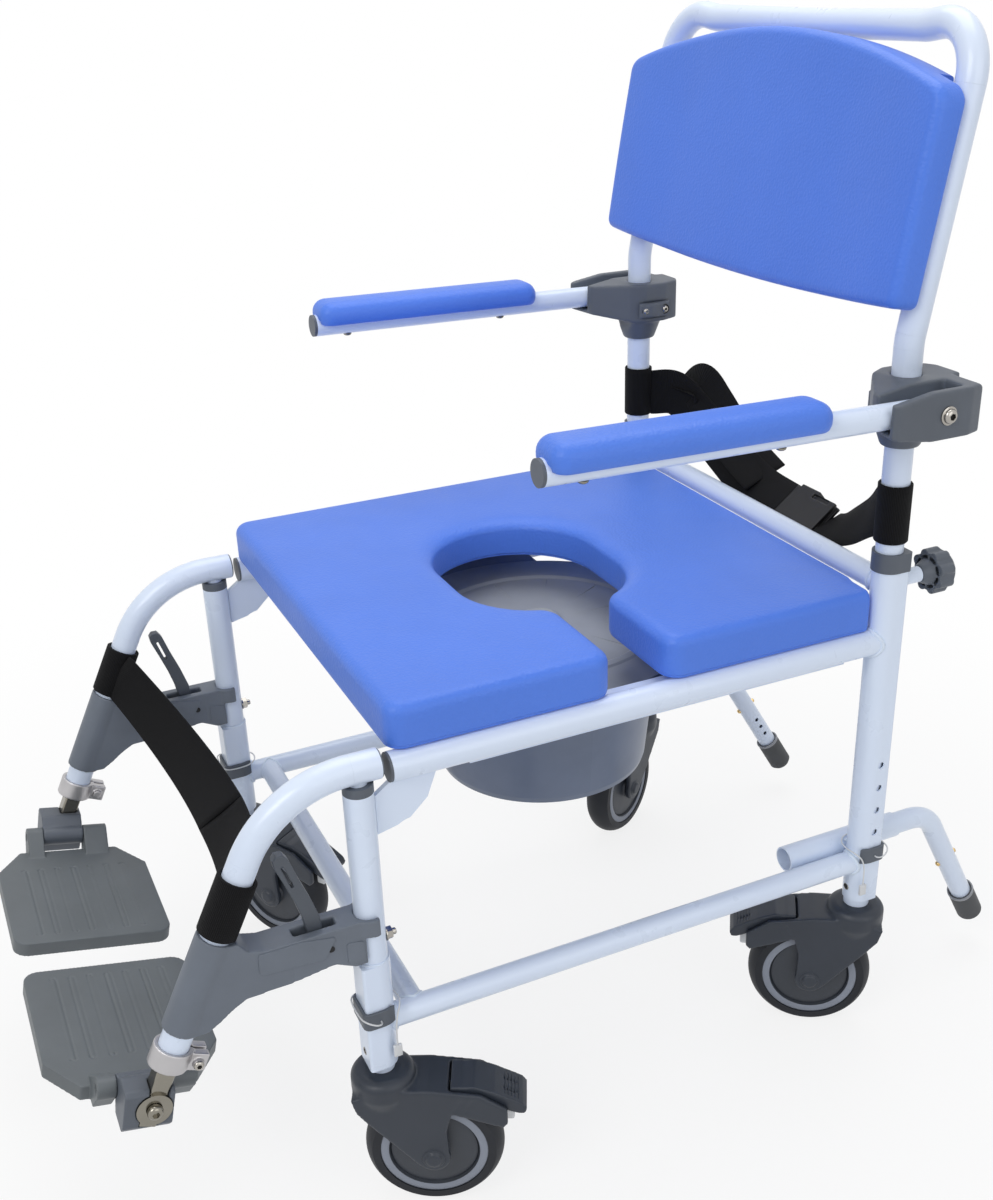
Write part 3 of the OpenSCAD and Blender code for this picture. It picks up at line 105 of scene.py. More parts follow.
class ChairSettings(bpy.types.PropertyGroup):
    """Sizes and colours that a user may change."""
    paint: bpy.props.FloatVectorProperty(
        name="Powder coat", description="Colour of the painted tubes", subtype="COLOR", size=3,
        default=(0.75, 0.84, 1.0))
    foam: bpy.props.FloatVectorProperty(
        name="Foam", description="Colour of the moulded foam pads", subtype="COLOR", size=3,
        default=(0.085, 0.222, 0.81))
    grey: bpy.props.FloatVectorProperty(
        name="Grey plastic", description="Colour of the grey mouldings", subtype="COLOR", size=3,
        default=(0.1, 0.115, 0.14))
    dark: bpy.props.FloatVectorProperty(
        name="Caster plastic", description="Colour of the caster forks and levers", subtype="COLOR", size=3,
        default=(0.027, 0.034, 0.048))
    pail: bpy.props.FloatVectorProperty(
        name="Pail plastic", description="Colour of the pail", subtype="COLOR", size=3,
        default=(0.165, 0.2, 0.28))
    web: bpy.props.FloatVectorProperty(
        name="Webbing", description="Colour of the straps", subtype="COLOR", size=3,
        default=(0.0055, 0.0055, 0.0065))
    seat_edge: bpy.props.FloatProperty(
        name="Seat edge", description="Radius of the seat cushion's edges", unit="LENGTH", default=0.010,
        min=0.008, max=0.012)
    strap_width: bpy.props.FloatProperty(
        name="Strap width", description="Width of the webbing", unit="LENGTH", default=0.05,
        min=0.04, max=0.052)


def settings():
    """The chair's sizes and colours as they are set now."""
    return bpy.context.scene.chair


# Finishes


class Finish:
    """A material under construction: a Principled shader with named noise, ramp and bump steps."""

    def __init__(self, name, **sockets):
        self.mat = bpy.data.materials.new(name)
        self.mat.use_nodes = True
        self.tree = self.mat.node_tree
        self.shader = self.tree.nodes["Principled BSDF"]
        for key, value in sockets.items():
            self.shader.inputs[key.replace("_", " ")].default_value = value

    def node(self, kind, **values):
        """New node; each value goes to the setting or else the socket of that name."""
        n = self.tree.nodes.new(kind)
        for key, value in values.items():
            if hasattr(n, key):
                setattr(n, key, value)
            else:
                n.inputs[key.replace("_", " ")].default_value = value
        return n

    def link(self, a, out, b, into):
        self.tree.links.new(a.outputs[out], b.inputs[into])

    def coords(self):
        return self.node("ShaderNodeTexCoord"), "Object"

    def noise(self, scale, detail=4.0, rough=0.5, source=None):
        tc, kind = source or self.coords()
        n = self.node("ShaderNodeTexNoise", Scale=scale, Detail=detail, Roughness=rough)
        self.link(tc, kind, n, "Vector")
        return n

    def ramp(self, fac, stops):
        """Colour ramp on a node's Fac output; stops holds (position, colour) pairs."""
        r = self.node("ShaderNodeValToRGB")
        el = r.color_ramp.elements
        while len(el) < len(stops):
            el.new(0.5)
        for e, (pos, col) in zip(el, stops):
            e.position = pos
            e.color = (*col, 1.0)
        self.link(fac, "Fac", r, "Fac")
        return r

    def tint(self, colour, spread, scale):
        """Base colour that drifts a little either side of colour."""
        a = [c * (1 - spread) for c in colour]
        b = [min(1.0, c * (1 + spread)) for c in colour]
        r = self.ramp(self.noise(scale, 5.0, 0.55), [(0.35, a), (0.65, b)])
        self.link(r, "Color", self.shader, "Base Color")

    def gloss(self, lo, hi, scale):
        """Roughness that wanders between two values."""
        m = self.node("ShaderNodeMapRange", To_Min=lo, To_Max=hi)
        self.link(self.noise(scale, 3.0), "Fac", m, "Value")
        self.link(m, "Result", self.shader, "Roughness")

    def bump(self, height, out, strength, distance):
        """Bump from a node's output, on top of those given before."""
        b = self.node("ShaderNodeBump", Strength=strength, Distance=distance)
        self.link(height, out, b, "Height")
        old = self.shader.inputs["Normal"].links
        if old:
            self.link(old[0].from_node, "Normal", b, "Normal")
        self.link(b, "Normal", self.shader, "Normal")


# Filled by make_finishes
FINISHES = {}


def powder_coat():
    """Glossy paint with a faint orange-peel surface."""
    f = Finish("powder_coat", Coat_Weight=0.25, Coat_Roughness=0.12, Specular_IOR_Level=0.5)
    f.tint(settings().paint, 0.012, 9)
    f.gloss(0.24, 0.34, 40)
    f.bump(f.noise(900, 2.0), "Fac", 0.05, 0.0004)
    f.bump(f.noise(130, 2.0), "Fac", 0.02, 0.001)
    return f.mat


def moulded(name, colour, rough, grain=2600.0, depth=0.12):
    """Plastic or rubber with the fine grain of its mould."""
    f = Finish(name, Specular_IOR_Level=0.45)
    f.tint(colour, 0.06, 18)
    f.gloss(rough - 0.06, rough + 0.06, 70)
    f.bump(f.noise(grain, 2.0, 0.6), "Fac", depth, 0.0003)
    return f.mat


def foam_skin():
    """Moulded foam skin: fine pebbled grain with soft sheen."""
    f = Finish("foam_skin", Specular_IOR_Level=0.42, Sheen_Weight=0.05, Sheen_Roughness=0.5)
    f.tint(settings().foam, 0.035, 6)
    f.gloss(0.4, 0.5, 30)
    tc = f.coords()
    warp = f.noise(220, 3.0, 0.5, tc)
    v = f.node("ShaderNodeTexVoronoi", feature="SMOOTH_F1", Scale=430.0)
    mix = f.node("ShaderNodeVectorMath", operation="MULTIPLY_ADD")
    mix.inputs[1].default_value = (0.0016, 0.0016, 0.0016)
    f.link(warp, "Color", mix, 0)
    f.link(tc[0], tc[1], mix, 2)
    f.link(mix, 0, v, "Vector")
    f.bump(v, "Distance", 0.5, 0.0007)
    f.bump(f.noise(75, 3.0), "Fac", 0.06, 0.002)
    return f.mat


def webbing_cloth():
    """Woven strap: ribs across and fine threads along, laid by the strap's own UV in metres; the ribs are
    coloured lighter on their crests as painted highlight and darker in their grooves as painted shade.
    """
    f = Finish("webbing_cloth", Roughness=0.75, Specular_IOR_Level=0.13, Sheen_Weight=0.02,
               Sheen_Roughness=0.6)
    uv = (f.node("ShaderNodeUVMap", uv_map="weave"), "UV")
    rib = f.node("ShaderNodeTexWave", bands_direction="X", Scale=230.0, Distortion=0.6)
    f.link(uv[0], uv[1], rib, "Vector")
    thread = f.node("ShaderNodeTexWave", bands_direction="Y", Scale=300.0, Distortion=0.8)
    f.link(uv[0], uv[1], thread, "Vector")
    c = settings().web
    # Rib colour follows the rib's height: painted highlight on the crests, painted shade in the grooves
    r = f.ramp(rib, [(0.3, [x * 0.3 for x in c]), (0.95, [x * 1.5 for x in c])])
    f.link(r, "Color", f.shader, "Base Color")
    f.bump(rib, "Fac", 0.5, 0.0006)
    f.bump(thread, "Fac", 0.4, 0.0004)
    return f.mat


def metal(name, colour, rough, brush=0.0):
    """Bare metal; brush is the strength of its surface marks."""
    f = Finish(name, Metallic=1.0)
    f.tint(colour, 0.05, 30)
    f.gloss(max(0.04, rough - 0.05), rough + 0.08, 160)
    if brush:
        f.bump(f.noise(700, 4.0), "Fac", brush, 0.0003)
    return f.mat


def tyre_rubber():
    """Dull tyre with uneven wear."""
    f = Finish("tyre_rubber", Specular_IOR_Level=0.35)
    f.tint((0.012, 0.014, 0.019), 0.18, 25)
    f.gloss(0.48, 0.66, 55)
    f.bump(f.noise(1500, 3.0), "Fac", 0.15, 0.0003)
    return f.mat


def make_finishes():
    """Makes every finish once."""
    s = settings()
    FINISHES.update(
        paint=powder_coat(),
        foam=foam_skin(),
        web=webbing_cloth(),
        tyre=tyre_rubber(),
        grey=moulded("grey_moulding", s.grey, 0.46),
        latch=moulded("latch_moulding", [c * 1.45 for c in s.grey], 0.46),
        plate=moulded("footplate_moulding", (0.125, 0.14, 0.15), 0.48, 1800.0, 0.2),
        dark=moulded("caster_moulding", s.dark, 0.42),
        lever=moulded("lever_moulding", [c * 0.8 for c in s.grey], 0.42),
        pail=moulded("pail_moulding", s.pail, 0.34, 500.0, 0.05),
        lid=moulded("lid_moulding", (0.36, 0.375, 0.385), 0.36, 500.0, 0.05),
        wheel=moulded("wheel_moulding", (0.25, 0.275, 0.33), 0.42),
        disc=moulded("wheel_disc_moulding", (0.036, 0.042, 0.054), 0.45),
        # Near-black finish for the floors of sockets, screw recesses and pin holes: painted shade
        pit=moulded("dark_recess", (0.006, 0.006, 0.007), 0.7),
        brass=metal("brass_button", (0.62, 0.44, 0.2), 0.25),
        ring=moulded("pale_ring", (0.3, 0.31, 0.33), 0.45),
        buckle=moulded("buckle_moulding", (0.007, 0.007, 0.008), 0.4),
        foot=moulded("rubber_foot", (0.07, 0.073, 0.078), 0.62),
        tie=moulded("white_nylon", (0.72, 0.73, 0.74), 0.4),
        bead=moulded("painted_bead", s.paint, 0.32, 400.0, 0.1),
        steel=metal("bright_steel", (0.4, 0.38, 0.35), 0.2, 0.03),
        chrome=metal("chrome_plate", (0.26, 0.245, 0.21), 0.16),
        cast=metal("cast_aluminium", (0.5, 0.49, 0.5), 0.4, 0.12),
    )


# CAD nodes that show as they are, by finish
NODE_FINISH = {
    "paint": ["frame_legs", "frame_rails", "antitip_receivers", "pail_tracks", "leg_extensions", "back_frame"]
             + [side + tube for side, _ in SIDES for tube in ("_arm_tube", "_hanger_tube", "_antitip_tube")],
    "grey": ["frame_bushes"] + [side + "_arm_cap" for side, _ in SIDES],
    "pail": ["pail"],
    "lid": ["pail_lid"],
    "foot": [side + "_antitip_foot" for side, _ in SIDES],
    "chrome": [side + "_footrest_bar" for side, _ in SIDES],
    "disc": [corner + "_wheel" for corner in CORNERS],
    "tyre": [corner + "_tyre" for corner in CORNERS],
}


def give(obj, mat):
    """Puts one material on every slot of an object."""
    if not obj.material_slots:
        obj.data.materials.append(mat)
    for s in obj.material_slots:
        s.material = mat


# Mesh makers


def mesh_object(name, verts, faces, mat):
    """New smooth-shaded object with its faces turned outwards."""
    me = bpy.data.meshes.new(name)
    me.from_pydata([tuple(v) for v in verts], [], faces)
    me.validate()
    bm = bmesh.new()
    bm.from_mesh(me)
    bmesh.ops.recalc_face_normals(bm, faces=bm.faces)
    bm.to_mesh(me)
    bm.free()
    for p in me.polygons:
        p.use_smooth = True
    ob = bpy.data.objects.new(name, me)
    bpy.context.scene.collection.objects.link(ob)
    give(ob, FINISHES[mat])
    return ob


def ring_faces(m, n, closed=False):
    """Faces between m rings of n points, with a cap at each end unless the last ring meets the first."""
    faces = [(k * n + i, k * n + (i + 1) % n, (k + 1) % m * n + (i + 1) % n, (k + 1) % m * n + i)
             for k in range(m if closed else m - 1) for i in range(n)]
    if not closed:
        faces += [tuple(range(n)), tuple((m - 1) * n + i for i in range(n))]
    return faces


def arc2(c, r, a0, a1, n):
    """Points on an arc from angle a0 to a1 in degrees, both ends with it."""
    turns = [math.radians(a0 + (a1 - a0) * i / n) for i in range(n + 1)]
    return [(c[0] + r * math.cos(t), c[1] + r * math.sin(t)) for t in turns]


def line2(p, q, n):
    """Points that split a straight run into n, without its ends."""
    return [(p[0] + (q[0] - p[0]) * i / n, p[1] + (q[1] - p[1]) * i / n) for i in range(1, n)]


def inward(points):
    """Inward normals of a counter-clockwise outline."""
    out = []
    n = len(points)
    for i in range(n):
        a = Vector(points[i]) - Vector(points[i - 1])
        b = Vector(points[(i + 1) % n]) - Vector(points[i])
        t = (a.normalized() + b.normalized()).normalized()
        out.append(Vector((-t.y, t.x)))
    return out


def pad_mesh(name, outline, weight, profile, crown, place, step):
    """Closed foam pad: rounded edge rings up from the base, then a crowned top filled with an even mesh.

    profile holds (height, inset) pairs from the base up, weight scales the inset at each outline point,
    crown(d) gives the rise at distance d from the last ring, and place turns (x, y, height) into scene
    metres."""
    pts = [Vector(p) for p in outline]
    nrm = inward(pts)
    n = len(pts)
    flat = []
    for h, d in profile:
        flat += [(*(pts[i] + nrm[i] * d * weight[i]), h) for i in range(n)]
    # The rings and the base, without the cap on the last ring, which gets an even fill
    faces = ring_faces(len(profile), n)[:-1]
    base = (len(profile) - 1) * n
    ring = [Vector(flat[base + i][:2]) for i in range(n)]
    lo = [min(p[k] for p in ring) for k in (0, 1)]
    hi = [max(p[k] for p in ring) for k in (0, 1)]
    inner = []
    # Rows of a grid of even triangles
    row = step * 0.866
    nx = int((hi[0] - lo[0]) / step)
    ny = int((hi[1] - lo[1]) / row)
    for j in range(ny + 1):
        for i in range(nx + 1):
            p = Vector((lo[0] + (i + 0.5 * (j % 2)) * step, lo[1] + j * row))
            if inside(p, ring) and clear_of(p, ring) > step * 0.55:
                inner.append(p)
    edges = [(i, (i + 1) % n) for i in range(n)]
    co, _, tri, src, _, _ = delaunay_2d_cdt(ring + inner, edges, [], 1, 1e-6)
    index = {}
    top = profile[-1][0]
    for i, p in enumerate(co):
        if src[i] and src[i][0] < n:
            index[i] = base + src[i][0]
        else:
            index[i] = len(flat)
            flat.append((p.x, p.y, top + crown(clear_of(p, ring))))
    faces += [tuple(index[i] for i in t) for t in tri]
    return mesh_object(name, [place(*p) for p in flat], faces, "foam")


def inside(p, ring):
    """Whether a point lies within an outline."""
    hit = False
    j = len(ring) - 1
    for i, a in enumerate(ring):
        b = ring[j]
        if (a.y > p.y) != (b.y > p.y) and p.x < (b.x - a.x) * (p.y - a.y) / (b.y - a.y) + a.x:
            hit = not hit
        j = i
    return hit


def clear_of(p, ring):
    """Distance from a point to the nearest edge of an outline."""
    best = 1e9
    for i, a in enumerate(ring):
        b = ring[(i + 1) % len(ring)]
        e = b - a
        t = max(0.0, min(1.0, (p - a).dot(e) / max(e.length_squared, 1e-12)))
        best = min(best, (p - a - e * t).length_squared)
    return math.sqrt(best)


def ease(t):
    """Smooth step from 0 to 1."""
    t = max(0.0, min(1.0, t))
    return t * t * (3 - 2 * t)


def spline(points, n):
    """Even points on a smooth curve through the given ones."""
    p = [points[0] * 2 - points[1]] + list(points) + [points[-1] * 2 - points[-2]]
    out = []
    for i in range(1, len(p) - 2):
        for k in range(n):
            t = k / n
            a, b, c, d = p[i - 1], p[i], p[i + 1], p[i + 2]
            out.append(0.5 * ((2 * b) + (c - a) * t + (2 * a - 5 * b + 4 * c - d) * t * t
                              + (3 * b - a - 3 * c + d) * t * t * t))
    out.append(points[-1].copy())
    return out


def strap(name, path, across, width, thick, closed=False, bow=0.0):
    """Flat webbing along a path: rounded edges, a slight cup across its width, and UVs in metres."""
    # Section as shares of the width and the thickness
    prof = [(-0.5, -0.25), (-0.5, 0.25), (-0.485, 0.5), (-0.3, 0.5), (0.0, 0.5), (0.3, 0.5), (0.485, 0.5),
            (0.5, 0.25), (0.5, -0.25), (0.485, -0.5), (0.3, -0.5), (0.0, -0.5), (-0.3, -0.5), (-0.485, -0.5)]
    n, m = len(prof), len(path)
    verts, run, length = [], [], 0.0
    for i, p in enumerate(path):
        if closed:
            u = path[(i + 1) % m] - path[i - 1]
        else:
            u = path[min(i + 1, m - 1)] - path[max(i - 1, 0)]
        u.normalize()
        v = (across[i] - u * u.dot(across[i])).normalized()
        w = u.cross(v)
        if i:
            length += (p - path[i - 1]).length
        run.append(length)
        verts += [p + v * a * width + w * (b * thick + bow * (0.25 - a * a) * 4) for a, b in prof]
    ob = mesh_object(name, verts, ring_faces(m, n, closed), "web")
    uv = ob.data.uv_layers.new(name="weave")
    for loop in ob.data.loops:
        i, j = divmod(loop.vertex_index, n)
        uv.data[loop.index].uv = (run[i], prof[j][0] * width)
    return ob


def tube_loop(name, centre, axis, radius, width, thick):
    """Webbing wrapped once round a tube."""
    axis = axis.normalized()
    side = axis.orthogonal().normalized()
    up = axis.cross(side)
    n = 40
    turns = [2 * math.pi * i / n for i in range(n)]
    path = [centre + (side * math.cos(t) + up * math.sin(t)) * radius for t in turns]
    return strap(name, path, [axis] * n, width, thick, closed=True)


def join(name, parts):
    """Joins meshes into the first one."""
    first = parts[0]
    with bpy.context.temp_override(active_object=first, selected_editable_objects=parts, object=first):
        bpy.ops.object.join()
    first.name = name
    return first


def lathe(name, profile, centre, axis, mat, n=36, closed=False):
    """Turned piece: (radius, height) pairs in mm along the axis; a third value makes that ring a hexagon."""
    axis = axis.normalized()
    side = axis.orthogonal().normalized()
    up = axis.cross(side)
    verts = []
    for r, h, *six in profile:
        for i in range(n):
            t = 2 * math.pi * i / n
            q = r / math.cos(t % (math.pi / 3) - math.pi / 6) if six else r
            verts.append(centre + axis * h / 1000 + (side * math.cos(t) + up * math.sin(t)) * q / 1000)
    ob = mesh_object(name, verts, ring_faces(len(profile), n, closed), mat)
    ob.data.set_sharp_from_angle(angle=math.radians(38))
    return ob


def sweep(name, path, radius, mat, n=10, closed=False):
    """Round cord or bead along points; radius in mm, one value or one for each point."""
    m = len(path)
    turns = [2 * math.pi * k / n for k in range(n)]
    side = None
    verts = []
    for i, p in enumerate(path):
        a = path[i - 1] if closed or i else p
        b = path[(i + 1) % m] if closed or i < m - 1 else p
        u = (b - a).normalized()
        side = u.orthogonal() if side is None else side - u * u.dot(side)
        side.normalize()
        up = u.cross(side)
        r = (radius[i] if isinstance(radius, list) else radius) / 1000
        verts += [p + (side * math.cos(t) + up * math.sin(t)) * r for t in turns]
    faces = ring_faces(m, n, closed)
    if closed:
        # The last ring of a closed bead is turned to meet the first
        last = (m - 1) * n
        shift = min(range(n), key=lambda q: (verts[q] - verts[last]).length)
        faces[-n:] = [(last + j, last + (j + 1) % n, (j + 1 + shift) % n, (j + shift) % n) for j in range(n)]
    return mesh_object(name, verts, faces, mat)


def block(name, centre, size, mat, axes=None, edge=0.8):
    """Small moulded block with rounded edges; size and edge in mm."""
    bm = bmesh.new()
    bmesh.ops.create_cube(bm, size=1.0)
    bmesh.ops.scale(bm, vec=Vector(size) / 1000, verts=bm.verts)
    bmesh.ops.bevel(bm, geom=bm.edges[:], offset=edge / 1000, segments=3, profile=0.5, affect="EDGES")
    turn = Matrix(axes).transposed() if axes else Matrix.Identity(3)
    verts = [centre + turn @ v.co for v in bm.verts]
    bm.verts.index_update()
    faces = [tuple(v.index for v in f.verts) for f in bm.faces]
    bm.free()
    ob = mesh_object(name, verts, faces, mat)
    ob.data.set_sharp_from_angle(angle=math.radians(60))
    return ob


def button_head(name, centre, axis, r, h, mat="steel"):
    """Domed screw head with a hexagon socket."""
    dome = [(r, 0), (r, 0.25 * h)]
    for a in (20, 40, 60, 80):
        t = math.radians(a)
        dome.append((r * math.cos(t) * 0.55 + r * 0.45, h * (0.25 + 0.75 * math.sin(t))))
    socket = 0.42 * r
    head = lathe(name, dome + [(socket, h, True), (socket, 0.35 * h, True)], centre, axis, mat)
    # Near-black disc at the floor of the socket: painted shade
    floor = [(socket * 0.98, 0.3 * h, True), (socket * 0.98, 0.38 * h, True)]
    return [head, lathe(name + "_socket", floor, centre, axis, "pit")]


def carry(ob, body, slot, *nodes):
    """Lets a piece ride on a body and stand for the CAD nodes named, which are hidden; slot is not used."""
    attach(ob, body)
    if nodes:
        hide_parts(*nodes)


# Operators


class CHAIR_OT_finishes(bpy.types.Operator):
    """Puts the painted, moulded, metal and rubber finishes on the rigid pieces that stay as they are"""
    bl_idname = "chair.finishes"
    bl_label = "Finishes"

    def execute(self, context):
        make_finishes()
        for key, names in NODE_FINISH.items():
            for name in names:
                give(frame["nodes"][name], FINISHES[key])
        return {"FINISHED"}


# Piece, node, body, slot, finish, voxel in mm and rounds of smoothing
MOULDINGS = [
    ("bracket_mouldings", "arm_brackets", "backrest", "grey_plastic", "grey", 1.1, 22),
    ("clip_mouldings", "height_clips", "frame", "grey_plastic", "grey", 0.8, 4),
]
# The same, with the endings of the names, for each caster and for each side
CASTER_MOULDINGS = (
    ("_fork_moulding", "_fork", "_caster", "dark_plastic", "dark", 1.2, 14),
    ("_pedal_moulding", "_pedal", "_brake", "dark_plastic", "dark", 0.9, 8),
)
SIDE_MOULDINGS = (
    ("_latch_moulding", "_latch_housing", "_hanger", "grey_plastic", "latch", 1.0, 10),
    ("_lever_moulding", "_latch_lever", "_lever", "dark_plastic", "lever", 0.6, 6),
    ("_hinge_moulding", "_hinge_block", "_footrest", "grey_plastic", "grey", 0.9, 8),
    ("_plate_moulding", "_footplate", "_plate", "plate_plastic", "plate", 0.8, 3),
    ("_knob_moulding", "_back_knob", "_knob", "grey_plastic", "grey", 0.8, 5),
    ("_collar_casting", "_clamp_collar", "_hanger", "aluminium", "cast", 0.7, 5),
)
MOULDINGS += [(c + piece, c + node, c + body, *how)
              for c in CORNERS for piece, node, body, *how in CASTER_MOULDINGS]
MOULDINGS += [(side + piece, side + node, side + body, *how)
              for side, _ in SIDES for piece, node, body, *how in SIDE_MOULDINGS]


def soften(name, node, mat, voxel, rounds, more=()):
    """Copy of a rigid node with an even mesh and rounded edges, as it leaves the mould.

    more holds meshes to fuse with it."""
    ob = bpy.data.objects.new(name, frame["nodes"][node].data.copy())
    bpy.context.scene.collection.objects.link(ob)
    if more:
        ob = join(name, [ob, *more])
    even = ob.modifiers.new("even", "REMESH")
    even.mode = "VOXEL"
    even.voxel_size = voxel / 1000
    edge = ob.modifiers.new("round", "SMOOTH")
    edge.factor = 0.5
    edge.iterations = rounds
    me = bpy.data.meshes.new_from_object(ob.evaluated_get(bpy.context.evaluated_depsgraph_get()))
    ob.modifiers.clear()
    ob.data = me
    me.name = name
    for q in me.polygons:
        q.use_smooth = True
    me.materials.clear()
    give(ob, FINISHES[mat])
    return ob


def caster_frame(corner):
    """Function from mm along, across and above a caster's foot to scene metres, and its directions."""
    swivel = Vector(JOINTS[corner + "_swivel"]["pos_m"])
    hub = Vector(JOINTS[corner + "_roll"]["pos_m"])
    up = Vector((0, 0, 1))
    fore = Vector((hub.x - swivel.x, hub.y - swivel.y, 0)).normalized()
    side = up.cross(fore)
    foot = Vector((swivel.x, swivel.y, 0))

    def local(t, y, z):
        return foot + (fore * t + side * y + up * z) / 1000

    return local, (fore, side, up)


class CHAIR_OT_mouldings(bpy.types.Operator):
    """Rounded brackets, latch housings, levers, hinges, footplates, knobs, clips, forks and pedals"""
    bl_idname = "chair.mouldings"
    bl_label = "Moulded pieces"

    def execute(self, context):
        for name, node, body, slot, mat, voxel, rounds in MOULDINGS:
            more = []
            if node.endswith("_pedal"):
                # Nose of the pedal, up to the seam with the fork's cover
                local, axes = caster_frame(node.removesuffix("_pedal"))
                more = [block("nose", local(64.2, 0, 132.6), (9.6, 36, 12), mat, axes, 0.4)]
            carry(soften(name, node, mat, voxel, rounds, more), body, slot, node)
        return {"FINISHED"}


def seat_outline(w, y0, y1):
    """Cushion seen from above, in mm, as runs of points, each with the swell of its edge rounding."""
    # Radii of the front corners, the slot's mouth and throat, the hole and the rear corners
    r, n, f, hr, rb = 16, 18, 26, 82, 8
    # Width of the slot, and the two ends of the hole's middle line
    slot = 52
    a = (-13.0, -3.0)
    b = (a[0] + 51, a[1])
    # Sides of the slot, centres of its throat, and the angles at which the hole meets the throat
    s0, s1 = a[1] + 2 - slot / 2, a[1] + 2 + slot / 2
    c0 = (b[0] + math.sqrt((hr + f) ** 2 - (s0 - f - b[1]) ** 2), s0 - f)
    c1 = (b[0] + math.sqrt((hr + f) ** 2 - (s1 + f - b[1]) ** 2), s1 + f)
    a0 = math.degrees(math.atan2(b[1] - c0[1], c0[0] - b[0]))
    a1 = math.degrees(math.atan2(c1[1] - b[1], c1[0] - b[0]))
    # Between the legs the rear edge comes close to the cross tube
    rear = [(x, y + 2.6 * ease((203 - abs(x)) / 8)) for x, y in line2((w - rb, y1), (-w + rb, y1), 44)]
    return [
        (arc2((-w + r, y0 + r), r, 180, 270, 8), 1.0), (line2((-w + r, y0), (w - r, y0), 22), 1.0),
        (arc2((w - r, y0 + r), r, 270, 360, 8), 1.0), (line2((w, y0 + r), (w, s0 - n), 10), 1.0),
        (arc2((w - n, s0 - n), n, 0, 90, 7), 1.0), (line2((w - n, s0), (c0[0], s0), 5), 1.05),
        (arc2(c0, f, 90, 180 - a0, 6), 1.3), (arc2(b, hr, -a0 - 6, -90, 7), 1.9),
        (line2((b[0], a[1] - hr), (a[0], a[1] - hr), 4), 2.1), (arc2(a, hr, -90, -270, 24), 2.1),
        (line2((a[0], a[1] + hr), (b[0], a[1] + hr), 4), 2.1), (arc2(b, hr, 90, a1 + 6, 7), 1.9),
        (arc2(c1, f, 180 + a1, 270, 6), 1.3), (line2((c1[0], s1), (w - n, s1), 5), 1.05),
        (arc2((w - n, s1 + n), n, 270, 360, 7), 1.0), (line2((w, s1 + n), (w, y1 - rb), 10), 1.0),
        (arc2((w - rb, y1 - rb), rb, 0, 90, 8), 0.5), (rear, 0.3),
        (arc2((-w + rb, y1 - rb), rb, 90, 180, 8), 0.5), (line2((-w, y1 - rb), (-w, y0 + r), 22), 1.0),
    ]


class CHAIR_OT_seat(bpy.types.Operator):
    """Moulded seat cushion with a keyhole that opens to the left side"""
    bl_idname = "chair.seat"
    bl_label = "Seat cushion"

    def execute(self, context):
        lo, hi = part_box("seat_cushion")
        t = (hi[2] - lo[2]) * 1000
        z = lo[2] * 1000
        e = settings().seat_edge * 1000
        outline, weight = [], []
        for pts, swell in seat_outline(hi[0] * 1000, (lo[1] - Y0) * 1000, (hi[1] - Y0) * 1000):
            outline += pts
            weight += [swell] * len(pts)
        # The rounding swells evenly from one run to the next
        for _ in range(6):
            after = weight[1:] + weight[:1]
            weight = [(weight[i - 1] + 2 * k + after[i]) / 4 for i, k in enumerate(weight)]
        # Parting line of the mould a little above the base
        prof = [(0, 0.35 * e), (0.6, 0.2 * e), (1.6, 0.08 * e), (2.7, 0.05 * e), (3.0, 0.8), (3.5, 0.8),
                (3.8, 0.02 * e), (0.55 * e, 0.0), (0.5 * t, 0.0), (t - e - 2, 0.0)]
        for i in range(1, 9):
            q = math.radians(90 * i / 8)
            prof.append((t - 1.2 - (e + 0.8) * (1 - math.sin(q)), 1.1 * e * (1 - math.cos(q))))
        prof += [(t - 0.8, 1.45 * e)]

        def crown(d):
            return 0.8 * ease(d / 45)

        def place(x, y, h):
            return at(x, y, z + h)

        ob = pad_mesh("seat_foam", outline, weight, prof, crown, place, 11)
        carry(ob, "seat", "blue_foam", "seat_cushion")
        return {"FINISHED"}


class CHAIR_OT_lid(bpy.types.Operator):
    """Wide brim of the pail lid, which lies on the pail's wings"""
    bl_idname = "chair.lid"
    bl_label = "Pail lid"

    def execute(self, context):
        lo, hi = (Vector(c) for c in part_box("pail_lid"))
        centre = Vector(((lo.x + hi.x) / 2, (lo.y + hi.y) / 2, lo.z))
        # The brim starts under the lid's own edge
        r0 = (hi.x - lo.x) * 500 - 5
        r1 = 160
        rim = [(r0, 0.2), (r1 - 1.2, 0.1), (r1 - 0.2, 0.5), (r1, 1.2), (r1 - 0.4, 2.0), (r1 - 1.4, 2.4),
               (r0, 2.4)]
        ob = lathe("lid_brim", rim, centre, Vector((0, 0, 1)), "lid", n=96, closed=True)
        carry(ob, "lid", "pail_plastic")
        return {"FINISHED"}


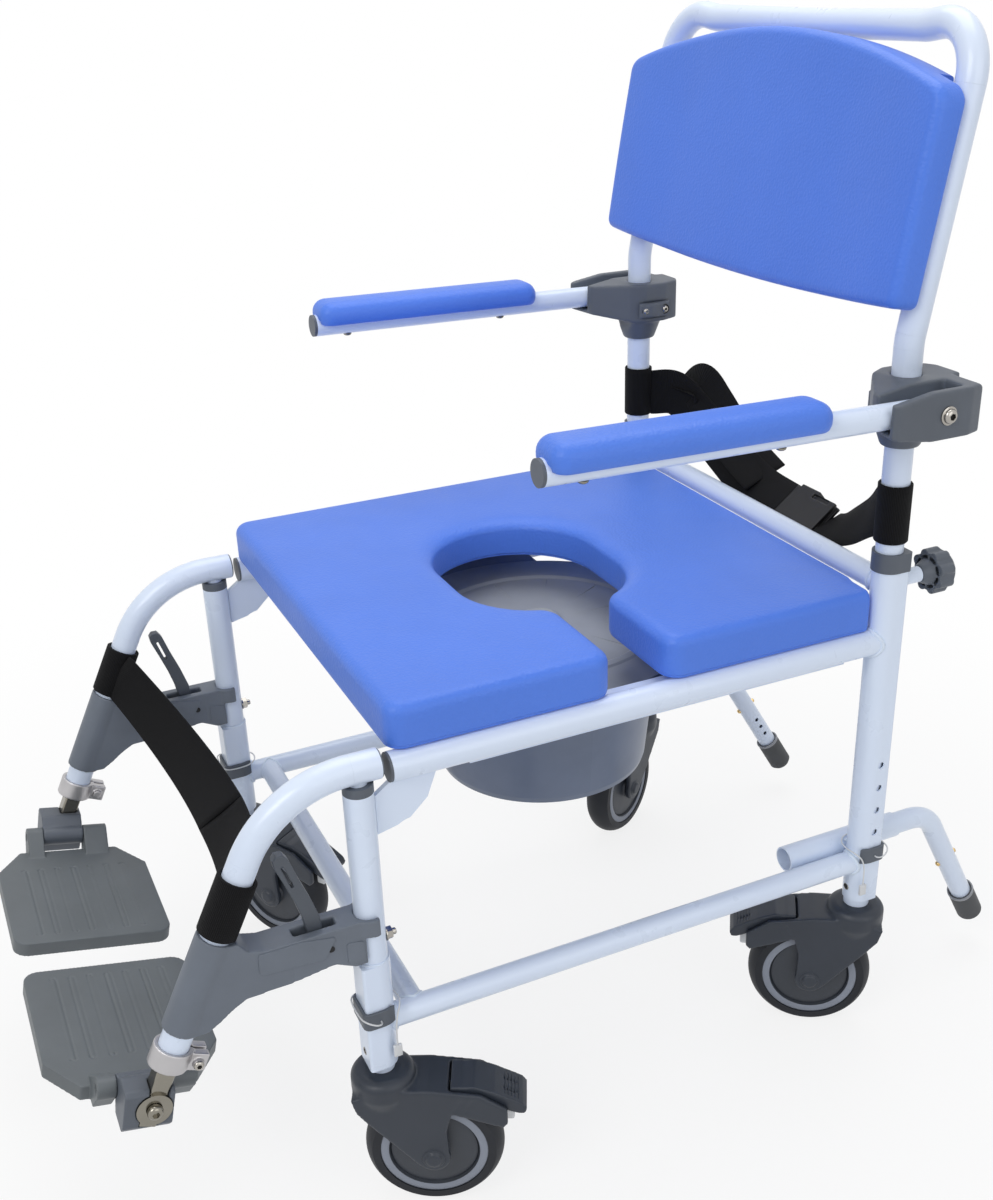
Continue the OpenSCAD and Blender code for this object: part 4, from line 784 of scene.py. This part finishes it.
class CHAIR_OT_back(bpy.types.Operator):
    """Moulded back pad with an arched top, carried on the leaning posts"""
    bl_idname = "chair.back"
    bl_label = "Back pad"

    def execute(self, context):
        lean = math.radians(10.4)
        up = Vector((0, math.sin(lean), math.cos(lean)))
        out = Vector((0, -math.cos(lean), math.sin(lean)))
        post_bend_z = 725
        org = Vector((0, LEG_Y, post_bend_z)) + out * (TUBE_R + RUN_GAP)
        lo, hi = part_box("back_pad")
        w = (hi[0] - lo[0]) * 500
        low, high, bow, arch, thick, dip, core, e = 16.0, 236.0, 10.0, 40.0, 28.0, 6.0, 14.0, 9.0
        # The pad is deeper between the posts than over them
        post = LEG_X - TUBE_R - 8
        top_r = 14

        def corner(x, r):
            """Drop of a rounded side edge at distance x from the middle."""
            return 0.0 if x < w - r else r - math.sqrt(max(0.0, r * r - (x - w + r) ** 2))

        def ring(x):
            m = abs(x)
            v0 = low + bow * (m / w) ** 2 + corner(m, e)
            v1 = high - arch * (m / w) ** 2 - corner(m, top_r)
            d0 = corner(m, 4) if m > post else -core
            d1 = thick - dip * (1 - ease((m - 120) / 110)) - corner(m, e)
            pts = arc2((v0 + 3, d0 + 3), 3, 180, 270, 4) + arc2((v1 - 3, d0 + 3), 3, 270, 360, 4)
            pts += arc2((v1 - e, d1 - e), e, 0, 90, 8)
            pts += [(v1 - e - (v1 - v0 - 2 * e) * i / 16, d1 + 0.6 * math.sin(math.pi * i / 16))
                    for i in range(1, 16)]
            return pts + arc2((v0 + e, d1 - e), e, 90, 180, 8)

        half = [post * i / 22 for i in range(23)] + [post + 0.5]
        half += [post + 0.5 + (w - top_r - post) * i / 5 for i in range(1, 5)]
        half += [w - top_r * (1 - math.sin(math.radians(87 * i / 9))) for i in range(10)]
        xs = [-x for x in reversed(half[1:])] + half
        rings = [[at(*(org + Vector((x, 0, 0)) + up * v + out * d)) for v, d in ring(x)] for x in xs]
        faces = ring_faces(len(rings), len(rings[0]))
        ob = mesh_object("back_foam", [p for r in rings for p in r], faces, "foam")
        ob.data.set_sharp_from_angle(angle=math.radians(50))
        carry(ob, "backrest", "blue_foam", "back_pad")
        return {"FINISHED"}


class CHAIR_OT_arms(bpy.types.Operator):
    """Moulded armrest pads on the flip-up tubes"""
    bl_idname = "chair.arms"
    bl_label = "Armrest pads"

    def execute(self, context):
        w, l, h = 23.0, 249.0, 25.5
        # Radii of the front and rear corners, the top edge and the groove over the tube
        r0, r1, top_r, groove = 14, 16, 14, 11.5
        outline = arc2((-w + r0, r0), r0, 180, 270, 8) + arc2((w - r0, r0), r0, 270, 360, 8)
        outline += line2((w, r0), (w, l - r1), 12)
        outline += arc2((w - r1, l - r1), r1, 0, 90, 8) + arc2((-w + r1, l - r1), r1, 90, 180, 8)
        outline += line2((-w, l - r1), (-w, r0), 12)
        prof = [(2, 3), (3, 1.8), (6, 0.6), (8, 0.1), (h - top_r, 0)]
        for i in range(1, 8):
            q = math.radians(90 * i / 7)
            prof.append((h - top_r + (top_r - 0.6) * math.sin(q), top_r * (1 - math.cos(q))))

        def crown(d):
            return 0.6 * ease(d / 9)

        for name, s in SIDES:
            axis = arm_pivot(s)
            org = axis + ARM_FORE * (ARM_LENGTH - 2 - l)

            def place(x, y, d, org=org):
                return at(*(org + Vector((x, 0, 0)) + ARM_FORE * (l - y) + ARM_UP * d))

            ob = pad_mesh(name + "_arm_foam", outline, [1.0] * len(outline), prof, crown, place, 6)
            for v in ob.data.vertices:
                q = Vector((v.co.x * 1000, (v.co.y - Y0) * 1000, v.co.z * 1000)) - axis
                side, high = abs(q.x), q.dot(ARM_UP)
                if max(side, high) < groove + 0.1:
                    lift = math.sqrt(groove ** 2 - min(side, groove - 0.1) ** 2)
                    v.co += ARM_UP * max(0.0, lift - high) / 1000
            carry(ob, name + "_arm", "blue_foam", name + "_arm_pad")
        return {"FINISHED"}


class CHAIR_OT_calf_straps(bpy.types.Operator):
    """Calf strap: doubled webbing between the hangers, one half on each"""
    bl_idname = "chair.calf_straps"
    bl_label = "Calf strap"

    def execute(self, context):
        w = settings().strap_width
        thick = 0.0034
        # Height of the loops, and how far the middle of the strap lies behind and below them
        z, back, drop = 360.2, 46, 61
        y = hanger_y(z)
        x0, x1 = 0.25, LEG_X - 13.2
        for name, s in SIDES:
            loop = tube_loop(name + "_calf_loop", at(s * LEG_X, y, z), HANGER_UP, 0.0148, w, thick)
            pts, across = [], []
            for i in range(25):
                k = 1 - i / 24
                pts.append(at(s * (x0 + (x1 - x0) * k), y + back * (1 - k * k), z - drop * (1 - k * k)))
                across.append(Vector((0, 0.86 - 0.42 * k, 0.51 + 0.39 * k)).normalized())
            band = strap(name + "_calf_webbing", pts, across, w, thick, bow=0.0012)
            carry(loop, name + "_hanger", "black_webbing")
            carry(band, name + "_hanger", "black_webbing", name + "_calf_strap")
            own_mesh(band)
        return {"FINISHED"}


class CHAIR_OT_chest_belt(bpy.types.Operator):
    """Chest belt: loops on the posts and loose webs that hang behind the seat"""
    bl_idname = "chair.chest_belt"
    bl_label = "Chest belt"

    def execute(self, context):
        w = settings().strap_width
        thick = 0.0024
        far = [(-216.7, 265.8, 570), (-190, 285, 572), (-150, 293, 550), (-100, 296, 526), (-40, 294, 508),
               (24, 288, 507)]
        near = [(88, 288, 505), (112, 287, 511), (150, 284, 531), (184, 276, 556), (216.7, 265.8, 570)]
        # Free tail that is folded back beside the far web
        tail = [(-176, 291, 560), (-180, 297, 578), (-166, 301, 585), (-144, 303, 570), (-112, 304, 548),
                (-74, 303, 530), (-34, 303, 516)]
        parts = []
        # Each web turns from lying one way at its start to another at its end
        webs = (("far", far, 0.1, 0.75), ("near", near, 0.95, 0.1), ("tail", tail, 0.35, 0.85))
        for tag, route, start, end in webs:
            pts = spline([at(*p) for p in route], 10)
            k = len(pts) - 1
            lie = [start + (end - start) * ease(i / k) for i in range(k + 1)]
            across = [Vector((0, q, math.sqrt(1 - q * q))) for q in lie]
            parts.append(strap(tag + "_web", pts, across, w, thick))
        for tag, s in SIDES:
            c = at(s * LEG_X, LEG_Y, 572)
            parts.append(tube_loop(tag + "_post_loop", c, Vector((0, 0, 1)), 0.0142, 0.054, thick))
        carry(join("chest_webbing", parts), "backrest", "black_webbing", "chest_belt")
        # The buckle lies over on the hanging webs
        c = at(56, 288, 514)
        core = block("core", c, (46, 5, 44), "buckle")
        ob = soften("buckle_moulding", "belt_buckle", "buckle", 0.7, 6, [core])
        turn = Matrix.Rotation(math.radians(-52), 3, "X")
        for v in ob.data.vertices:
            v.co = turn @ (v.co - c) + c - Vector((0, 0, 0.007))
        carry(ob, "backrest", "black_plastic", "belt_buckle")
        return {"FINISHED"}


class CHAIR_OT_welds(bpy.types.Operator):
    """Painted weld beads where the rails and cross tubes meet the legs"""
    bl_idname = "chair.welds"
    bl_label = "Weld beads"

    def execute(self, context):
        parts = []

        def bead(tag, size, point):
            """Closed bead of an uneven hand weld; point gives (x, y, z) in mm at each turn of (cos, sin)."""
            n = 56
            turns = [2 * math.pi * i / n for i in range(n)]
            pts = [at(*point(math.cos(t), math.sin(t))) for t in turns]
            r = [size * (1 + 0.06 * math.sin(9.0 * i) + 0.05 * math.sin(2.3 * i)) for i in range(n)]
            parts.append(sweep(tag, pts, r, "bead", closed=True))

        def saddle(r):
            """Distance from a leg's axis at which a weld of half width r lies on it."""
            return math.sqrt(15.0 ** 2 - r ** 2)

        # Radii of the beads round the seat rail and round the thinner rails
        thick, thin = 12.9, 11.3
        for s in (1, -1):
            x = s * LEG_X
            for tag, z, r in (("seat_rail", SEAT_RAIL_Z, thick), ("lower_rail", LOWER_RAIL_Z, thin)):
                bead(tag, 1.9, lambda c, q, z=z, r=r: (x + r * c, LEG_Y - saddle(r * c), z + r * q))
            bead("lower_front", 1.9, lambda c, q: (x + thin * c, -LEG_Y + saddle(thin * c),
                                                   LOWER_RAIL_Z + thin * q))
            bead("cross_rear", 1.5, lambda c, q: (x - s * 14.6, LEG_Y + thin * c, 501.6 + thin * q))
            bead("cross_front", 1.4, lambda c, q: (x - s * math.sqrt(thin ** 2 - (11.2 * q) ** 2),
                                                   34 - LEG_Y + thin * c, LOWER_RAIL_Z + 11.2 * q))
            bead("sleeve_top", 1.5, lambda c, q: (x + thick * c, -LEG_Y + thick * q, 268.2))
            bead("knob_boss", 1.4, lambda c, q: (x + 7.7 * c, LEG_Y + 14.6, 504 + 7.7 * q))
            # Seam between the anti-tip receiver and the leg
            for z in (RECEIVER_Z - 11, RECEIVER_Z + 11):
                pts = [at(x - s * 13.4, LEG_Y - 10 + 2 * i, z) for i in range(11)]
                parts.append(sweep("receiver", pts, [1.2] + [2.0] * 9 + [1.2], "bead"))
        carry(join("weld_beads", parts), "frame", "white_paint")
        return {"FINISHED"}


def clamp_band(s):
    """Band of the bracket's clamp: swells round the post, with a rounded rim."""
    ny, nz = 28, 10
    half_y, half_z = 19, 8.5
    verts = []
    for back in (False, True):
        for j in range(nz + 1):
            for i in range(ny + 1):
                y, z = half_y * (2 * i / ny - 1), half_z * (2 * j / nz - 1)
                rim = min(half_y - abs(y), half_z - abs(z)) / 2.2
                swell = 2.6 + 3.6 * math.exp(-((y + 4) / 9.5) ** 2)
                proud = swell * math.sqrt(max(0.0, 1 - max(0.0, 1 - rim) ** 2))
                x = LEG_X - 26.6 - (0 if back else 0.5 + proud)
                verts.append(at(s * x, CLAMP_Y + y, CLAMP_Z + z))
    w = ny + 1
    faces = [(j * w + i, j * w + i + 1, (j + 1) * w + i + 1, (j + 1) * w + i)
             for j in range(nz) for i in range(ny)]
    k = w * (nz + 1)
    faces += [tuple(k + v for v in f) for f in faces]
    rim = list(range(ny)) + [ny + j * w for j in range(nz)]
    rim += [nz * w + ny - i for i in range(ny)] + [(nz - j) * w for j in range(nz)]
    faces += [(a, b, k + b, k + a) for a, b in zip(rim, rim[1:] + rim[:1])]
    return mesh_object("clamp_band", verts, faces, "grey")


class CHAIR_OT_bracket_hardware(bpy.types.Operator):
    """Pivot bolts, clamp bands and clamp screws of the armrest brackets"""
    bl_idname = "chair.bracket_hardware"
    bl_label = "Bracket hardware"

    def execute(self, context):
        parts = []
        washer = [(4, 0.05), (8, 0.05), (8.1, 0.5), (8, 1.2), (7.6, 1.5), (4, 1.5)]
        # From the arm's axis to the outer face of the bracket
        cheek = 11.1 + 0.4 + 9
        for s in (1, -1):
            out = Vector((s, 0, 0))
            c = at(*(arm_pivot(s) + out * cheek))
            parts.append(lathe("washer", washer, c, out, "steel", closed=True))
            parts += button_head("pivot_bolt", c + out * 0.0014, out, 6.4, 4.2)
            parts.append(lathe("shank", [(3.9, -30), (3.9, 1)], c, out, "steel"))
            parts.append(clamp_band(s))
            for y in (-12, 12):
                c = at(s * (LEG_X - 29.6), CLAMP_Y + y, CLAMP_Z)
                # Recess round the screw head, coloured near-black as painted shade
                parts.append(lathe("recess", [(5.4, -1), (5.4, 0.5), (4.8, 0.7), (4.0, 0.2)], c, -out, "pit"))
                parts += button_head("clamp_screw", c - out * 0.0002, -out, 3.5, 2.2)
        carry(join("bracket_hardware", parts), "backrest", "steel", "bracket_bolts")
        return {"FINISHED"}


class CHAIR_OT_casters(bpy.types.Operator):
    """Wheel discs, axle caps, brake shoes and pedal treads of the four casters"""
    bl_idname = "chair.casters"
    bl_label = "Caster fittings"

    def execute(self, context):
        # Sections as radius and height in mm
        disc = [(13.2, -1.2), (16, -1.6), (24, -2.2), (33, -2.6), (37.5, -2.9), (38.8, -3.4), (39.4, -6),
                (13.2, -6)]
        rim = [(40.6, -1.2), (41.2, -0.75), (47.2, -0.75), (48.2, -1.2), (48.2, -3), (40.6, -3)]
        cap = [(11.2, -0.4), (11.2, 0.12), (10.6, 0.12), (10.4, -0.1), (10.1, 0.5), (9.4, 0.8), (2, 0.9)]
        slope = math.radians(28)
        for corner in CORNERS:
            hub = Vector(JOINTS[corner + "_roll"]["pos_m"])
            local, axes = caster_frame(corner)
            fore, side, up = axes
            discs, caps = [], []
            for s in (1, -1):
                c = hub + side * s * 0.015
                discs.append(lathe("disc", disc, c, side * s, "disc", n=56, closed=True))
                discs.append(lathe("rim", rim, c, side * s, "wheel", n=56, closed=True))
                caps.append(lathe("axle_cap", cap, local(42, s * 24, 62.5), side * s, "dark"))
            carry(join(corner + "_wheel_discs", discs), corner + "_roller", "dark_plastic")
            carry(join(corner + "_axle_caps", caps), corner + "_caster", "dark_plastic")
            # Brake shoe under the pedal, and the ribs of its tread
            parts = [block("shoe", local(109.4, 0, 103), (10.4, 18.6, 20.8), "tie", axes, 2.2)]
            tread = (fore * math.cos(slope) - up * math.sin(slope), side,
                     fore * math.sin(slope) + up * math.cos(slope))
            for i in range(5):
                t = 107 + 2.9 * i
                c = local(t, 0, 132 - (t - 98) * 13 / 24 + 0.1)
                parts.append(block("rib", c, (1.1, 26, 0.9), "dark", tread, 0.35))
            carry(join(corner + "_brake_shoe", parts), corner + "_brake", "dark_plastic")
        return {"FINISHED"}


# Outlines of the raised panels on the side of the latch housing, as (y, z) in the chair's mm
LATCH_COVER = [(-354, 299), (-353, 296.5), (-350.5, 295), (-303, 292.5), (-300, 293), (-298, 295),
               (-290, 309), (-291, 311), (-318, 315.5), (-347, 315.5), (-352, 316), (-353.5, 314)]
LATCH_JAW = [(-281, 282), (-279, 280), (-268, 278), (-266, 279.5), (-266, 297), (-268, 299), (-279, 300.5),
             (-281, 299)]


def panel(name, outline, x, sign, mat):
    """Thin raised panel with a rounded rim on a side face; outline holds (y, z) pairs in mm."""
    pts = [Vector(q) for q in outline]
    area = sum(a.x * b.y - b.x * a.y for a, b in zip(pts, pts[1:] + pts[:1]))
    pts = pts if area > 0 else pts[::-1]
    nrm = inward(pts)
    rings = ((0, -0.6), (0, 0.55), (0.1, 0.82), (0.3, 0.97), (0.55, 1.0))
    verts = [at(x + sign * h, *(q + m * d)) for d, h in rings for q, m in zip(pts, nrm)]
    ob = mesh_object(name, verts, ring_faces(len(rings), len(pts)), mat)
    ob.data.set_sharp_from_angle(angle=math.radians(50))
    return ob


def leg_screws(name, s):
    """Leg foot screws, the stop nut behind the front leg, and the spring pin of the anti-tip receiver."""
    parts = []
    fore, back = Vector((0, -1, 0)), Vector((0, 1, 0))
    foot_z, stop_z = 172, 288
    for y in (-LEG_Y, LEG_Y):
        c = at(s * LEG_X, y - LEG_HALF, foot_z)
        parts.append(lathe("rim", [(3.6, -0.6), (3.6, 0.2), (3.2, 0.45), (2.6, 0.3)], c, fore, "steel"))
        # Near-black disc in the screw's socket: painted shade
        parts.append(lathe("pit", [(2.4, 0.0), (2.4, 0.34)], c, fore, "pit"))
    c = at(s * LEG_X, -LEG_Y + 12.6, stop_z)
    parts.append(lathe("washer", [(6.2, -0.4), (6.2, 0.8), (5.9, 1.0), (3.0, 1.0)], c, back, "steel"))
    parts.append(lathe("nut", [(5.0, 0.9, True), (5.0, 5.2, True), (4.3, 5.8), (3.0, 5.8)], c, back, "steel"))
    parts.append(lathe("end", [(2.9, 5.0), (2.9, 8.6), (2.3, 9.3)], c, back, "steel"))
    # In the inner side of the receiver, 14 mm from its front end
    c = at(s * (RECEIVER_X - 12.4), LEG_Y - 73 + 14, RECEIVER_Z)
    pin = [(2.9, -1), (2.9, 0.8), (2.4, 1.8), (1.2, 2.4)]
    parts.append(lathe("button", pin, c, Vector((-s, 0, 0)), "brass"))
    carry(join(name + "_leg_screws", parts), "frame", "steel")


def arm_screws(name, s):
    """Pad screws under the armrest tube."""
    parts = []
    dome = [(4.4, 0), (4.4, 0.7), (4.0, 1.7), (2.8, 2.5), (1.2, 2.8)]
    for from_end in (35, 212):
        c = arm_pivot(s) + ARM_FORE * (ARM_LENGTH - from_end) - ARM_UP * 10.9
        parts.append(lathe("dome", dome, at(*c), -ARM_UP, "chrome"))
    carry(join(name + "_arm_screws", parts), name + "_arm", "steel")


def footrest_fittings(name, s):
    """Side panels of the latch, its pin recesses in painted shade, the clamp's screw, and the screw in the
    large washer.
    """
    out = Vector((s, 0, 0))
    rear = Vector((0, math.cos(HANGER_LEAN), -math.sin(HANGER_LEAN)))
    # Distances of the panels' base and of the pins from the housing's middle
    panel_x, pin_x = 13.9, 14.6
    parts = [panel("panel", face, s * LEG_X + k * panel_x, k, "latch")
             for face in (LATCH_COVER, LATCH_JAW) for k in (1, -1)]
    carry(join(name + "_latch_panels", parts), name + "_hanger", "grey_plastic")
    # Pin recesses as near-black discs: painted shade
    pin = [(2.8, -0.3), (2.8, 0.12), (2.3, 0.2)]
    parts = [lathe("pin", pin, at(s * LEG_X + k * pin_x, -LEG_Y - 38, 300), Vector((k, 0, 0)), "pit")
             for k in (1, -1)]
    carry(join(name + "_latch_pins", parts), name + "_hanger", "dark_plastic")
    clamp_z, washer_z = 232, 194
    c = Vector((s * LEG_X, hanger_y(clamp_z), clamp_z)) + out * 12.6 + rear * 21 + HANGER_UP * 4
    parts = button_head("clamp_screw", at(*c), out, 4.3, 2.6)
    carry(join(name + "_clamp_screw", parts), name + "_hanger", "steel")
    c = Vector((s * (LEG_X + 10.8), hanger_y(washer_z), washer_z)) + out
    parts = button_head("washer_screw", at(*c), out, 6.6, 4.8, "chrome")
    carry(join(name + "_plate_screw", parts), name + "_footrest", "steel")


def antitip_fittings(name, s):
    """Snap buttons and the ring of the rubber foot on the anti-tip tube."""
    # Slopes of the tube inwards and to the rear, and where it bends and ends
    splay, rake = 0.095, math.radians(30)
    bend_y, tip_z = LEG_Y + 106, 44
    d = Vector((-splay * s, math.tan(rake), -1)).normalized()
    bend = Vector((s * RECEIVER_X, bend_y, RECEIVER_Z))
    tip = bend + d * ((RECEIVER_Z - tip_z) / -d.z)
    across = d.cross(Vector((1, 0, 0))).normalized()
    button = [(2.9, -1), (2.9, 1.0), (2.5, 2.0), (1.4, 2.7)]
    parts = [lathe("button", button, at(*(tip - d * 104 + across * k * 10.9)), across * k, "brass")
             for k in (1, -1)]
    carry(join(name + "_snap_buttons", parts), name + "_antitip", "steel")
    ring = [(13.0, -38.4), (14.3, -38.2), (14.5, -36.5), (14.2, -35), (13.0, -35)]
    ob = lathe(name + "_foot_ring", ring, at(*tip), d, "ring", closed=True)
    carry(ob, name + "_antitip_tip", "grey_plastic")


class CHAIR_OT_screws(bpy.types.Operator):
    """Screws, nuts, snap buttons and rings on the frame, arms, hangers and anti-tip tubes"""
    bl_idname = "chair.screws"
    bl_label = "Screws and buttons"

    def execute(self, context):
        for name, s in SIDES:
            leg_screws(name, s)
            arm_screws(name, s)
            footrest_fittings(name, s)
            antitip_fittings(name, s)
        return {"FINISHED"}


class CHAIR_OT_ties(bpy.types.Operator):
    """Thin nylon keepers of the height clips, each with a blank tag"""
    bl_idname = "chair.ties"
    bl_label = "Clip keepers"

    def execute(self, context):
        # Out of the clip's pin, round the leg above the rail, and down beside the clip to the tag
        route = [(18.4, 3, 214.4), (21.2, 3.3, 214.6), (23.8, 5.4, 215.6), (24.4, 9.6, 217.2),
                 (21.6, 15, 219), (15.6, 18.8, 220), (5, 19.8, 220), (-6, 19.6, 220), (-14.4, 17.8, 220),
                 (-18.6, 12, 220),
                 (-19.2, 2, 220), (-17, -9, 220), (-9.5, -16.6, 220), (1, -19, 220), (10.6, -16.6, 219),
                 (16.6, -12.4, 214.6), (18.8, -10, 206), (19.0, -9.4, 196), (19.0, -9.4, 184)]
        for corner, (sx, sy) in CORNERS.items():
            pts = spline([at(sx * (LEG_X + x), sy * (LEG_Y + y), z) for x, y, z in route], 8)
            ob = sweep(corner + "_keeper", pts, 0.75, "tie", n=8)
            low = pts[-1] - Vector((0, 0, 0.0055))
            tag = block(corner + "_keeper_tag", low, (3.2, 7.4, 12), "tie", edge=0.7)
            for piece in (ob, tag):
                carry(piece, "frame", "white_paint")
        return {"FINISHED"}


def plain_rays(tree):
    """Output that is 1 for camera, glossy and transmission rays, which see the pale backdrop."""
    path = tree.nodes.new("ShaderNodeLightPath")
    seen = path.outputs["Is Camera Ray"]
    for kind in ("Is Glossy Ray", "Is Transmission Ray"):
        either = tree.nodes.new("ShaderNodeMath")
        either.operation = "MAXIMUM"
        tree.links.new(seen, either.inputs[0])
        tree.links.new(path.outputs[kind], either.inputs[1])
        seen = either.outputs[0]
    return seen


def pale_floor():
    """Floor finish that keeps the shadow; its glow grows with distance, so the far edge isn't seen."""
    f = Finish("pale_floor", Roughness=0.9, Specular_IOR_Level=0.0)
    f.tint((0.93, 0.93, 0.93), 0.01, 1.5)
    glow = f.node("ShaderNodeEmission", Strength=1.0)
    mix = f.node("ShaderNodeMixShader")
    tc, kind = f.coords()
    reach = f.node("ShaderNodeVectorMath", operation="LENGTH")
    f.link(tc, kind, reach, 0)
    fade = f.node("ShaderNodeMapRange", interpolation_type="SMOOTHSTEP", From_Min=0.3, From_Max=1.3,
                  To_Min=0.82, To_Max=1.0)
    f.link(reach, "Value", fade, "Value")
    seen = f.node("ShaderNodeMath", operation="MULTIPLY")
    f.tree.links.new(plain_rays(f.tree), seen.inputs[0])
    f.link(fade, "Result", seen, 1)
    f.link(seen, "Value", mix, "Fac")
    f.link(f.shader, "BSDF", mix, 1)
    f.link(glow, "Emission", mix, 2)
    f.link(mix, "Shader", f.tree.nodes["Material Output"], "Surface")
    return f.mat


def studio_world():
    """Soft light from all sides, before a white backdrop."""
    world = bpy.data.worlds.new("studio")
    world.use_nodes = True
    tree = world.node_tree
    soft = tree.nodes["Background"]
    soft.inputs["Color"].default_value = (0.95, 0.97, 1.0, 1)
    soft.inputs["Strength"].default_value = 0.36
    white = tree.nodes.new("ShaderNodeBackground")
    white.inputs["Color"].default_value = (1, 1, 1, 1)
    white.inputs["Strength"].default_value = 1.0
    mix = tree.nodes.new("ShaderNodeMixShader")
    tree.links.new(plain_rays(tree), mix.inputs["Fac"])
    tree.links.new(soft.outputs[0], mix.inputs[1])
    tree.links.new(white.outputs[0], mix.inputs[2])
    tree.links.new(mix.outputs[0], tree.nodes["World Output"].inputs["Surface"])
    return world


# Lamps: name, place, aim and size in metres, and power in watts
LAMPS = (
    ("key", (1.3, -2.2, 2.6), (0, 0, 0.5), 1.6, 34),
    ("fill", (2.6, 0.6, 1.6), (0, 0, 0.5), 2.0, 14),
    ("top", (-0.6, 0.4, 3.0), (0, 0, 0.4), 2.2, 34),
)

# The photograph's frame, focal length and middle in its pixels, and the camera's turn and place on the chair
PHOTO_W, PHOTO_H = 993, 1200
FOCAL_PX = 1382.56
MIDDLE_PX = (535.51, 626.62)
YAW, PITCH, ROLL = (math.radians(v) for v in (64.60, 25.43, -1.33))
CAMERA_AT = (1127.9, -525.64, 1013.11)


def photo_camera():
    """Camera that stands where the photograph was taken."""
    cam = bpy.data.cameras.new("camera")
    cam.sensor_fit = "AUTO"
    cam.sensor_width = 36.0
    cam.lens = FOCAL_PX / PHOTO_H * cam.sensor_width
    cam.shift_x = (PHOTO_W / 2 - MIDDLE_PX[0]) / PHOTO_H
    cam.shift_y = (MIDDLE_PX[1] - PHOTO_H / 2) / PHOTO_H
    back = Vector((math.sin(YAW) * math.cos(PITCH), -math.cos(YAW) * math.cos(PITCH), math.sin(PITCH)))
    level = Vector((math.cos(YAW), math.sin(YAW), 0))
    up = back.cross(level)
    right = level * math.cos(ROLL) + up * math.sin(ROLL)
    over = up * math.cos(ROLL) - level * math.sin(ROLL)
    turn = Matrix((right, over, back)).transposed().to_4x4()
    turn.translation = at(*CAMERA_AT)
    ob = bpy.data.objects.new("camera", cam)
    ob.matrix_world = turn
    return ob


class CHAIR_OT_stage(bpy.types.Operator):
    """Pale floor, soft light and the camera of the photograph"""
    bl_idname = "chair.stage"
    bl_label = "Stage"

    def execute(self, context):
        scene = context.scene
        scene.view_settings.view_transform = "Standard"
        half = 6
        corners = [(-half, -half, 0), (half, -half, 0), (half, half, 0), (-half, half, 0)]
        me = bpy.data.meshes.new("floor")
        me.from_pydata(corners, [], [(0, 1, 2, 3)])
        floor = bpy.data.objects.new("floor", me)
        scene.collection.objects.link(floor)
        give(floor, pale_floor())
        scene.world = studio_world()
        for name, pos, aim, size, power in LAMPS:
            lamp = bpy.data.lights.new(name, "AREA")
            lamp.energy = power
            lamp.size = size
            ob = bpy.data.objects.new(name, lamp)
            ob.location = pos
            ob.rotation_euler = (Vector(aim) - Vector(pos)).to_track_quat("-Z", "Y").to_euler()
            scene.collection.objects.link(ob)
        scene.camera = photo_camera()
        scene.collection.objects.link(scene.camera)
        return {"FINISHED"}


class CHAIR_PT_panel(bpy.types.Panel):
    """The chair's pieces, in the order that they are made"""
    bl_idname = "CHAIR_PT_panel"
    bl_label = "Shower commode chair"
    bl_space_type = "VIEW_3D"
    bl_region_type = "UI"
    bl_category = "Chair"

    def draw(self, context):
        for key in ChairSettings.__annotations__:
            self.layout.prop(context.scene.chair, key)
        for op in OPERATORS:
            self.layout.operator(op.bl_idname)


OPERATORS = (
    CHAIR_OT_finishes, CHAIR_OT_mouldings, CHAIR_OT_seat, CHAIR_OT_lid, CHAIR_OT_back, CHAIR_OT_arms,
    CHAIR_OT_calf_straps, CHAIR_OT_chest_belt, CHAIR_OT_welds, CHAIR_OT_bracket_hardware, CHAIR_OT_casters,
    CHAIR_OT_screws, CHAIR_OT_ties, CHAIR_OT_stage,
)
CLASSES = (ChairSettings, *OPERATORS, CHAIR_PT_panel)


def register():
    """Adds the classes and the chair's settings to Blender."""
    for c in CLASSES:
        bpy.utils.register_class(c)
    bpy.types.Scene.chair = bpy.props.PointerProperty(type=ChairSettings)


def unregister():
    """Takes them out again."""
    del bpy.types.Scene.chair
    for c in reversed(CLASSES):
        bpy.utils.unregister_class(c)


def main():
    """Dresses the chair."""
    register()
    bpy.ops.chair.finishes()
    bpy.ops.chair.mouldings()
    bpy.ops.chair.seat()
    bpy.ops.chair.lid()
    bpy.ops.chair.back()
    bpy.ops.chair.arms()
    bpy.ops.chair.calf_straps()
    bpy.ops.chair.chest_belt()
    bpy.ops.chair.welds()
    bpy.ops.chair.bracket_hardware()
    bpy.ops.chair.casters()
    bpy.ops.chair.screws()
    bpy.ops.chair.ties()
    bpy.ops.chair.stage()


if __name__ == "__main__":
    main()
